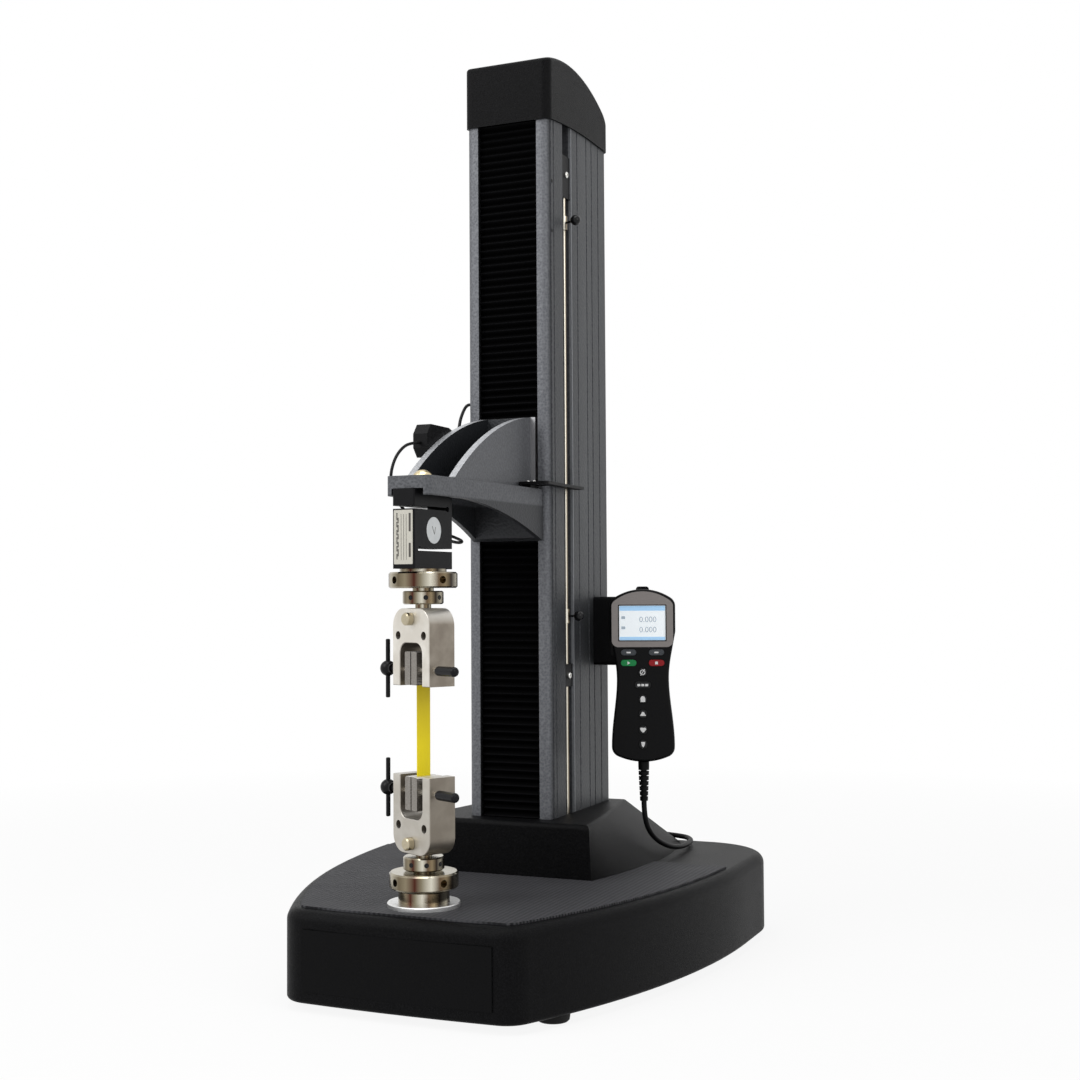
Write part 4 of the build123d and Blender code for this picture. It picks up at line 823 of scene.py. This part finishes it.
HANDSET_CORD = [
    (0.112, 0.094, 0.1599), (0.112, 0.094, 0.140), (0.117, 0.107, 0.119), (0.1255, 0.135, 0.105),
    (0.1285, 0.170, 0.0995), (0.1275, 0.200, 0.0985), (0.123, 0.230, 0.0985), (0.104, 0.251, 0.099),
    (0.062, 0.254, 0.100),
]

# Node, piece, route, radius, bodies, the two ends between which it bends, stiffness and lay
LEADS = (
    ("cell_lead", "cell_lead_cord", CELL_LEAD, 0.0015, ("crosshead",), None, "limp", "loose"),
    (
        "column_lead", "column_lead_cord", COLUMN_LEAD, 0.0017, ("crosshead", "root"),
        ((-0.056, 0.020, 0.5), (-0.056, 0.100, 0.5)), "limp", "hanging",
    ),
    (
        "handset_cord", "handset_cord_sheath", HANDSET_CORD, 0.0029, ("handset", "root"),
        ((0.112, 0.094, 0.157), (0.1255, 0.135, 0.103)), "medium", "hanging",
    ),
)


def cord_tube(name, points, radius):
    """Mesh tube along the route's smooth line, and the points that it follows."""
    curve = bpy.data.curves.new(name + "_route", "CURVE")
    curve.dimensions = "3D"
    curve.resolution_u = 16
    spline = curve.splines.new("NURBS")
    spline.points.add(len(points) - 1)
    for target, point in zip(spline.points, points):
        target.co = (*point, 1)
    spline.order_u = 3
    spline.use_endpoint_u = True
    route = added(name + "_route", curve)
    bpy.context.view_layer.update()
    line = bpy.data.meshes.new_from_object(route)
    path = [tuple(vertex.co) for vertex in line.vertices]
    curve.bevel_depth = radius
    curve.bevel_resolution = 5
    curve.use_fill_caps = True
    bpy.context.view_layer.update()
    mesh = bpy.data.meshes.new_from_object(route)
    mesh.name = name
    bpy.data.objects.remove(route)
    bpy.data.meshes.remove(line)
    length = sum((Vector(b) - Vector(a)).length for a, b in zip(path, path[1:]))
    mesh.polygons.foreach_set("use_smooth", [True] * len(mesh.polygons))
    made = added(name, mesh)
    mesh.materials.clear()
    mesh.materials.append(finish("cord_rubber"))
    return made, path, length


# Settings a user would change

class TesterDetails(bpy.types.PropertyGroup):
    pleat_pitch: bpy.props.FloatProperty(
        name="Pleat pitch", description="Height of one pleat of the bellows", default=0.008,
        subtype="DISTANCE", unit="LENGTH",
    )
    strip_width: bpy.props.FloatProperty(
        name="Strip width", description="Width of the test strip", default=0.015,
        subtype="DISTANCE", unit="LENGTH",
    )
    label_height: bpy.props.FloatProperty(
        name="Label height", description="Height of the load cell's label", default=0.050,
        subtype="DISTANCE", unit="LENGTH",
    )
    sticker_radius: bpy.props.FloatProperty(
        name="Sticker radius", description="Radius of the round sticker on the load cell", default=0.0125,
        subtype="DISTANCE", unit="LENGTH",
    )
    panel_width: bpy.props.FloatProperty(
        name="Front panel width", description="Width of the bare film on the base's front", default=0.192,
        subtype="DISTANCE", unit="LENGTH",
    )


class TesterStudio(bpy.types.PropertyGroup):
    camera_place: bpy.props.FloatVectorProperty(
        name="Camera place", description="Where the camera stands", default=(0.6630, -1.4746, 0.3813),
        subtype="TRANSLATION", unit="LENGTH",
    )
    camera_turn: bpy.props.FloatVectorProperty(
        name="Camera turn", description="Turn about Z, tilt about X and roll of the camera",
        default=(radians(23.19), radians(92.14), radians(-0.327)), subtype="EULER", unit="ROTATION",
    )
    lens: bpy.props.FloatProperty(
        name="Lens", description="Focal length on a 36 mm wide sensor", default=50.7, unit="CAMERA",
    )
    key_power: bpy.props.FloatProperty(
        name="Key light", description="Power of the large light at the front left", default=38.0,
        subtype="POWER", unit="POWER",
    )
    floor_colour: bpy.props.FloatVectorProperty(
        name="Floor colour", description="Colour of the bench", default=(0.86, 0.86, 0.86), subtype="COLOR",
    )


# Operators

class TESTER_OT_frame_finishes(bpy.types.Operator):
    """Give every node of the frame its finish"""
    bl_idname = "tester.frame_finishes"
    bl_label = "Frame finishes"

    def execute(self, context):
        for name, nodes in NODE_FINISHES.items():
            for node in nodes:
                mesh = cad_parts[node].data
                mesh.materials.clear()
                mesh.materials.append(finish(name))
        return {"FINISHED"}


class TESTER_OT_bellows(bpy.types.Operator):
    """Fold the two bellows that close the column's channel"""
    bl_idname = "tester.bellows"
    bl_label = "Bellows"

    def execute(self, context):
        details = context.scene.tester_details
        for node, bodies in (
            ("upper_bellows", ("crosshead", "root")), ("lower_bellows", ("root", "crosshead")),
        ):
            low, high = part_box(node)
            form = pleated_sheet(low.z, high.z, details.pleat_pitch, high.x, low.y, high.y, CLOTH)
            made = piece(node + "_folds", form, "bellows_cloth", None)
            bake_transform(made)
            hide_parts(node)
        return {"FINISHED"}


class TESTER_OT_strip(bpy.types.Operator):
    """Cut the test strip and clamp it between the grips"""
    bl_idname = "tester.strip"
    bl_label = "Test strip"

    def execute(self, context):
        low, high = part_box("test_specimen")
        form = strip_form(context.scene.tester_details.strip_width, 0.001, low.z, high.z)
        place = shifted(0, LOAD_Y, 0) @ Matrix.Rotation(GRIP_YAW, 4, "Z")
        made = piece("test_strip", form, "strip_elastomer", None, place)
        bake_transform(made)
        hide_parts("test_specimen")
        return {"FINISHED"}


class TESTER_OT_cords(bpy.types.Operator):
    """Lay the three leads"""
    bl_idname = "tester.cords"
    bl_label = "Leads"

    def execute(self, context):
        for node, name, route, radius, bodies, ends, stiffness, lay in LEADS:
            made, path, length = cord_tube(name, route, radius)
            if ends:
                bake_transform(made)
            else:
                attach(made, *bodies)
            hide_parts(node)
        return {"FINISHED"}


class TESTER_OT_load_cell(bpy.types.Operator):
    """Stick the label and the round sticker on the load cell"""
    bl_idname = "tester.load_cell"
    bl_label = "Load cell labels"

    def execute(self, context):
        details = context.scene.tester_details
        front = on_cell(0.0, -0.0335, 0.437, facing_front())
        label = extruded(rounded_rectangle(0.0205, details.label_height, 0.0008), LABEL, EDGE, 1)
        piece("cell_label", label, "label_cream", "crosshead", front)
        lines = []
        for row in range(11):
            width = 0.0052 if row % 3 else 0.0068
            line = extruded(rounded_rectangle(0.0011, width, 0.0003, 2), PRINT)
            lines.append(moved(line, -0.0068 + 0.0013 * (row % 2), 0.019 - row * 0.0037, LABEL))
        for column in range(3):
            line = extruded(rounded_rectangle(0.0004, 0.042, 0.0001, 1), PRINT)
            lines.append(moved(line, -0.0022 + column * 0.0028, 0.0, LABEL))
        for length, y in ((0.017, 0.0135), (0.013, -0.012)):
            block = extruded(rounded_rectangle(0.0022, length, 0.0004, 2), PRINT)
            lines.append(moved(block, 0.0072, y, LABEL))
        piece("cell_label_lines", joined(*lines), "mark_dark", "crosshead", front)
        side = on_cell(0.012, 0.0, 0.444, facing_right())
        disc = extruded(ring_outline(details.sticker_radius, 40), LABEL, EDGE, 1)
        piece("cell_sticker", disc, "silver_sticker", "crosshead", side)
        tick = joined(*(
            moved(extruded(rounded_rectangle(0.0006, length, 0.0002, 1), PRINT), x, 0.0, LABEL, turn)
            for length, x, turn in ((0.0085, -0.0012, 0.45), (0.0070, 0.0018, -0.3))
        ))
        piece("cell_sticker_marks", tick, "mark_dark", "crosshead", side)
        return {"FINISHED"}


class TESTER_OT_fasteners(bpy.types.Operator):
    """Set the small screws of the guides, the flag and the column's side"""
    bl_idname = "tester.fasteners"
    bl_label = "Fasteners"

    def execute(self, context):
        for label, z in (("upper", 0.839), ("lower", 0.297)):
            screw = socket_screw(0.0034, 0.0024, 0.0015)
            place = shifted(0.046, 0.0412, z) @ facing_right()
            piece(label + "_guide_screw", screw, "bright_steel", "root", place)
        for label, x in (("left", 0.030), ("right", 0.0365)):
            screw = socket_screw(0.0027, 0.002, 0.0012)
            place = shifted(x, -0.028, 0.5)
            piece(label + "_flag_screw", screw, "bright_steel", "crosshead", place)
        for label, z in (("upper", 0.822), ("lower", 0.769)):
            plug = lathed([(0, 0.0004), (0.0016, 0.0004), (0.0020, 0), (0, 0)], 20)
            place = shifted(0.0475, -0.0005, z) @ facing_right()
            piece(label + "_side_plug", plug, "black_plastic", "root", place)
        # Gloss black discs on the collars stand in for their small holes: painted shade where the holes
        # are.
        collar = 0.0191
        for level, z in (("upper", 0.38125), ("lower", 0.13475)):
            for number, turn in enumerate((-100, -55, -10, 80, 170)):
                angle = radians(turn)
                centre = Vector((collar * cos(angle), LOAD_Y + collar * sin(angle), z))
                outward = Matrix.Rotation(angle, 4, "Z") @ facing_right()
                form = lathed([
                    (0, 0.0001), (0.0017, 0.0001), (0.0020, 0.0004), (0.0023, 0.0001),
                    (0.0023, -0.0008), (0, -0.0008),
                ], 20)
                body = "crosshead" if level == "upper" else "root"
                piece(
                    f"{level}_collar_hole_shade_{number}", form, "gloss_black", body,
                    Matrix.Translation(centre) @ outward,
                )
        return {"FINISHED"}


class TESTER_OT_base_panel(bpy.types.Operator):
    """Lay the bare film on the base's bowed front"""
    bl_idname = "tester.base_panel"
    bl_label = "Front film"

    def execute(self, context):
        width = context.scene.tester_details.panel_width
        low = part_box("base_housing")[0]
        half_chord = 0.15
        bow = 0.004
        proud = 0.0003
        depth = 0.0012
        columns = 24
        z_low, z_high = 0.020, 0.0765
        form = bmesh.new()
        rows = []
        for index in range(columns + 1):
            x = -width / 2 + width * index / columns
            y = low.y + bow * (x / half_chord) ** 2 - proud
            rows.append([form.verts.new((x, y, z)) for z in (z_low, z_high)])
        for a, b in zip(rows, rows[1:]):
            form.faces.new((a[0], b[0], b[1], a[1]))
        grown = bmesh.ops.extrude_face_region(form, geom=form.faces[:])["geom"]
        verts = [item for item in grown if isinstance(item, bmesh.types.BMVert)]
        bmesh.ops.translate(form, vec=(0, depth, 0), verts=verts)
        piece("front_film", form, "panel_film", "root")
        return {"FINISHED"}


def icon_outlines():
    """White marks on the handset's keys: key, and its outlines in X and Z from the key's centre."""
    def shape(*points):
        return [(x * MM, y * MM) for x, y in points]

    arch = [(2.5 * cos(pi * i / 8), 0.9 + 2.3 * sin(pi * i / 8)) for i in range(9)]
    return {
        "start_key": (-15.0, 309.4, [shape((-1.3, -1.7), (1.9, 0.0), (-1.3, 1.7))]),
        "stop_key": (15.0, 309.4, [shape((-1.5, -1.5), (1.5, -1.5), (1.5, 1.5), (-1.5, 1.5))]),
        "menu_key": (0.0, 285.6, [
            shape((-5.8, -1.2), (-2.6, -1.2), (-2.6, 1.2), (-5.8, 1.2)),
            shape((-1.6, -1.2), (1.6, -1.2), (1.6, 1.2), (-1.6, 1.2)),
            shape((2.6, -1.2), (5.8, -1.2), (5.8, 1.2), (2.6, 1.2)),
        ]),
        "fast_up_key": (0.0, 270.5, [shape(*arch, (-2.5, -3.0), (2.5, -3.0))]),
        "slow_up_key": (0.0, 254.4, [shape((-3.2, -1.9), (3.2, -1.9), (1.0, 2.4), (-1.0, 2.4))]),
        "slow_down_key": (0.0, 237.4, [
            shape((-3.0, 2.4), (3.0, 2.4), (3.2, 0.6), (0.9, -2.6), (-0.9, -2.6), (-3.2, 0.6)),
        ]),
        "fast_down_key": (0.0, 221.8, [
            shape((-2.2, 2.8), (2.2, 2.8), (1.6, -0.8), (0.0, -3.2), (-1.6, -0.8)),
        ]),
        "zero_key": (0.0, 299.4, [shape((-2.6, -3.2), (-1.9, -3.6), (2.6, 3.2), (1.9, 3.6))]),
    }


class TESTER_OT_handset(bpy.types.Operator):
    """Fit the handset's display and print the marks on its keys"""
    bl_idname = "tester.handset"
    bl_label = "Handset display and marks"

    def execute(self, context):
        middle = 0.3525
        glass_front = HANDSET_FRONT - 0.0011
        panel = extruded(rounded_rectangle(0.0500, 0.0375, 0.0008), PANEL, EDGE, 1)
        place = on_handset(0, glass_front, middle)
        piece("display_panel", panel, "screen_white", "handset", place)
        top = glass_front + PANEL
        for label, height, rise in (("top", 0.0052, 0.0158), ("low", 0.0036, -0.0168)):
            bar = extruded(rounded_rectangle(0.0490, height, 0.0003, 2), PRINT)
            place = on_handset(0, top, middle + rise)
            piece("display_" + label + "_bar", bar, "screen_blue", "handset", place)
        rim = []
        for x, y, width, height in (
            (0, 0.01925, 0.0520, 0.0010), (0, -0.01925, 0.0520, 0.0010),
            (-0.0256, 0, 0.0010, 0.0385), (0.0256, 0, 0.0010, 0.0385),
        ):
            side = extruded(rounded_rectangle(width, height, 0.0002, 1), 0.0003, EDGE, 1)
            rim.append(moved(side, x, y, 0))
        piece(
            "display_rim", joined(*rim), "gloss_black", "handset",
            on_handset(0, HANDSET_FRONT + 0.00055, middle),
        )
        digits = [moved(text_form("0.000", 0.0085), 0.006, y) for y in (0.0045, -0.0065)]
        for row in range(2):
            block = extruded(rounded_rectangle(0.0042, 0.0030, 0.0004, 2), 0.00006)
            digits.append(moved(block, -0.0205, 0.0068 - row * 0.011, 0))
        place = on_handset(0, top, middle - 0.001)
        piece("display_digits", joined(*digits), "screen_grey", "handset", place)
        for name, (x, z, outlines) in icon_outlines().items():
            marks = [extruded(outline, KEY_MARK) for outline in outlines]
            if name == "zero_key":
                marks.append(ring_form(0.0021, 0.0029, KEY_MARK))
            place = on_handset(x * MM, KEY_FRONT, z * MM)
            piece(name + "_mark", joined(*marks), "mark_white", name, place)
        for name, x in (("function_key_left", -0.015), ("function_key_right", 0.015)):
            bar = extruded(rounded_rectangle(0.0046, 0.0016, 0.0004, 2), 0.0001)
            piece(name + "_mark", bar, "mark_white", name, on_handset(x, KEY_FRONT, 0.3207))
        return {"FINISHED"}


def text_form(text, size):
    """Plain digits as a thin form, centred on the origin."""
    curve = bpy.data.curves.new("digits", "FONT")
    curve.body = text
    curve.size = size
    curve.extrude = 0.00004
    curve.align_x = "CENTER"
    curve.align_y = "CENTER"
    holder = added("digits", curve)
    bpy.context.view_layer.update()
    mesh = bpy.data.meshes.new_from_object(holder)
    form = bmesh.new()
    form.from_mesh(mesh)
    bpy.data.objects.remove(holder)
    bpy.data.meshes.remove(mesh)
    return form


def ring_form(inner, outer, thickness, count=28):
    """Flat ring standing up from Z = 0."""
    profile = [(inner, 0), (inner, thickness), (outer, thickness), (outer, 0), (inner, 0)]
    return lathed(profile, count)


class TESTER_OT_inlet(bpy.types.Operator):
    """Set the inlet's screws"""
    bl_idname = "tester.inlet"
    bl_label = "Inlet marks"

    def execute(self, context):
        back = Matrix.Rotation(pi, 4, "Z") @ facing_front()
        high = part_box("mains_inlet")[1]
        for label, x in (("left", INLET_X - 0.0275), ("right", INLET_X + 0.0275)):
            screw = lathed([(0, 0.0004), (0.0008, 0.0005), (0.0016, 0.0008), (0.0021, 0), (0, 0)], 20)
            place = shifted(x, high.y, INLET_Z) @ back
            piece(label + "_inlet_screw", screw, "plain_steel", "root", place)
        return {"FINISHED"}


class TESTER_OT_studio(bpy.types.Operator):
    """Set up the bench, the lights and the camera"""
    bl_idname = "tester.studio"
    bl_label = "Studio"

    def execute(self, context):
        studio = context.scene.tester_studio
        build_floor(studio.floor_colour)
        build_world()
        add_light("key_light", (-1.5, -2.0, 2.1), 1.9, studio.key_power)
        add_light("side_light", (2.3, -1.0, 1.4), 1.3, studio.key_power * 0.30)
        add_light("top_light", (0.1, -0.5, 2.6), 1.4, studio.key_power * 0.55)
        data = bpy.data.cameras.new("camera")
        data.lens = studio.lens
        data.sensor_width = 36.0
        camera = added("camera", data)
        turn, tilt, roll = studio.camera_turn
        camera.matrix_world = (
            Matrix.Translation(studio.camera_place)
            @ Matrix.Rotation(turn, 4, "Z")
            @ Matrix.Rotation(tilt, 4, "X")
            @ Matrix.Rotation(roll, 4, "Z")
        )
        context.scene.camera = camera
        context.scene.view_settings.view_transform = "Standard"
        return {"FINISHED"}


def build_floor(colour):
    """Pale plain bench that shows white to the camera and keeps the object's shadow."""
    form = bmesh.new()
    bmesh.ops.create_grid(form, x_segments=1, y_segments=1, size=7.0)
    mesh = bpy.data.meshes.new("bench")
    form.to_mesh(mesh)
    form.free()
    bench = added("bench", mesh)
    f = Finish("bench_paper", Roughness=0.9, Specular_IOR_Level=0.0)
    fibre = f.noise(f.place, 60, 2)
    f.feed(Base_Color=f.mixed(tuple(colour), (0.90, 0.90, 0.90), fibre))
    white = f.node("ShaderNodeEmission", None, {"Color": (1, 1, 1, 1)})
    camera, glossy, through = (
        f.node("ShaderNodeLightPath", output=kind)
        for kind in ("Is Camera Ray", "Is Glossy Ray", "Is Transmission Ray")
    )
    x, y = f.axes(f.place)[:2]
    far = (x * x + y * y).above(0.5, 3.0)
    share = (camera + glossy + through).clamped() * (1 - SHADOW + far * SHADOW)
    paper = Signal(f, f.shader.outputs[0])
    surface = f.node("ShaderNodeMixShader", None, {0: share, 1: paper, 2: white})
    f.tree.links.new(surface.socket, f.tree.nodes["Material Output"].inputs["Surface"])
    mesh.materials.append(f.material)


def build_world():
    """White to the camera and in reflections, and a plain soft light on the object."""
    world = bpy.data.worlds.new("studio")
    bpy.context.scene.world = world
    world.use_nodes = True
    sky = Shading(world.node_tree)
    background = sky.tree.nodes["Background"]
    background.inputs["Color"].default_value = (1, 1, 1, 1)
    camera = sky.node("ShaderNodeLightPath", output="Is Camera Ray")
    glossy = sky.node("ShaderNodeLightPath", output="Is Glossy Ray")
    level = camera.math("MAXIMUM", glossy) * (1 - SOFT_LIGHT) + SOFT_LIGHT
    sky.tree.links.new(level.socket, background.inputs["Strength"])


def add_light(name, place, size, power):
    """Large soft square light aimed at the middle of the machine."""
    data = bpy.data.lights.new(name, "AREA")
    data.shape = "SQUARE"
    data.size = size
    data.energy = power
    light = added(name, data)
    aim = Vector((0.0, -0.05, 0.42)) - Vector(place)
    light.matrix_world = Matrix.Translation(place) @ aim.to_track_quat("-Z", "Y").to_matrix().to_4x4()


class TESTER_PT_panel(bpy.types.Panel):
    bl_idname = "TESTER_PT_panel"
    bl_label = "Materials tester"
    bl_space_type = "VIEW_3D"
    bl_region_type = "UI"
    bl_category = "Tester"

    def draw(self, context):
        for group in (context.scene.tester_details, context.scene.tester_studio):
            for key in group.bl_rna.properties.keys():
                if key not in ("rna_type", "name"):
                    self.layout.prop(group, key)
        for operator in OPERATORS:
            self.layout.operator(operator.bl_idname)


OPERATORS = (
    TESTER_OT_studio,
    TESTER_OT_frame_finishes,
    TESTER_OT_cords,
    TESTER_OT_bellows,
    TESTER_OT_strip,
    TESTER_OT_load_cell,
    TESTER_OT_fasteners,
    TESTER_OT_base_panel,
    TESTER_OT_handset,
    TESTER_OT_inlet,
)
CLASSES = (TesterDetails, TesterStudio) + OPERATORS + (TESTER_PT_panel,)


def register():
    for item in CLASSES:
        bpy.utils.register_class(item)
    bpy.types.Scene.tester_details = bpy.props.PointerProperty(type=TesterDetails)
    bpy.types.Scene.tester_studio = bpy.props.PointerProperty(type=TesterStudio)


def unregister():
    del bpy.types.Scene.tester_details
    del bpy.types.Scene.tester_studio
    for item in reversed(CLASSES):
        bpy.utils.unregister_class(item)


def main():
    register()
    bpy.ops.tester.studio()
    bpy.ops.tester.frame_finishes()
    bpy.ops.tester.cords()
    bpy.ops.tester.bellows()
    bpy.ops.tester.strip()
    bpy.ops.tester.load_cell()
    bpy.ops.tester.fasteners()
    bpy.ops.tester.base_panel()
    bpy.ops.tester.handset()
    bpy.ops.tester.inlet()


if __name__ == "__main__":
    main()
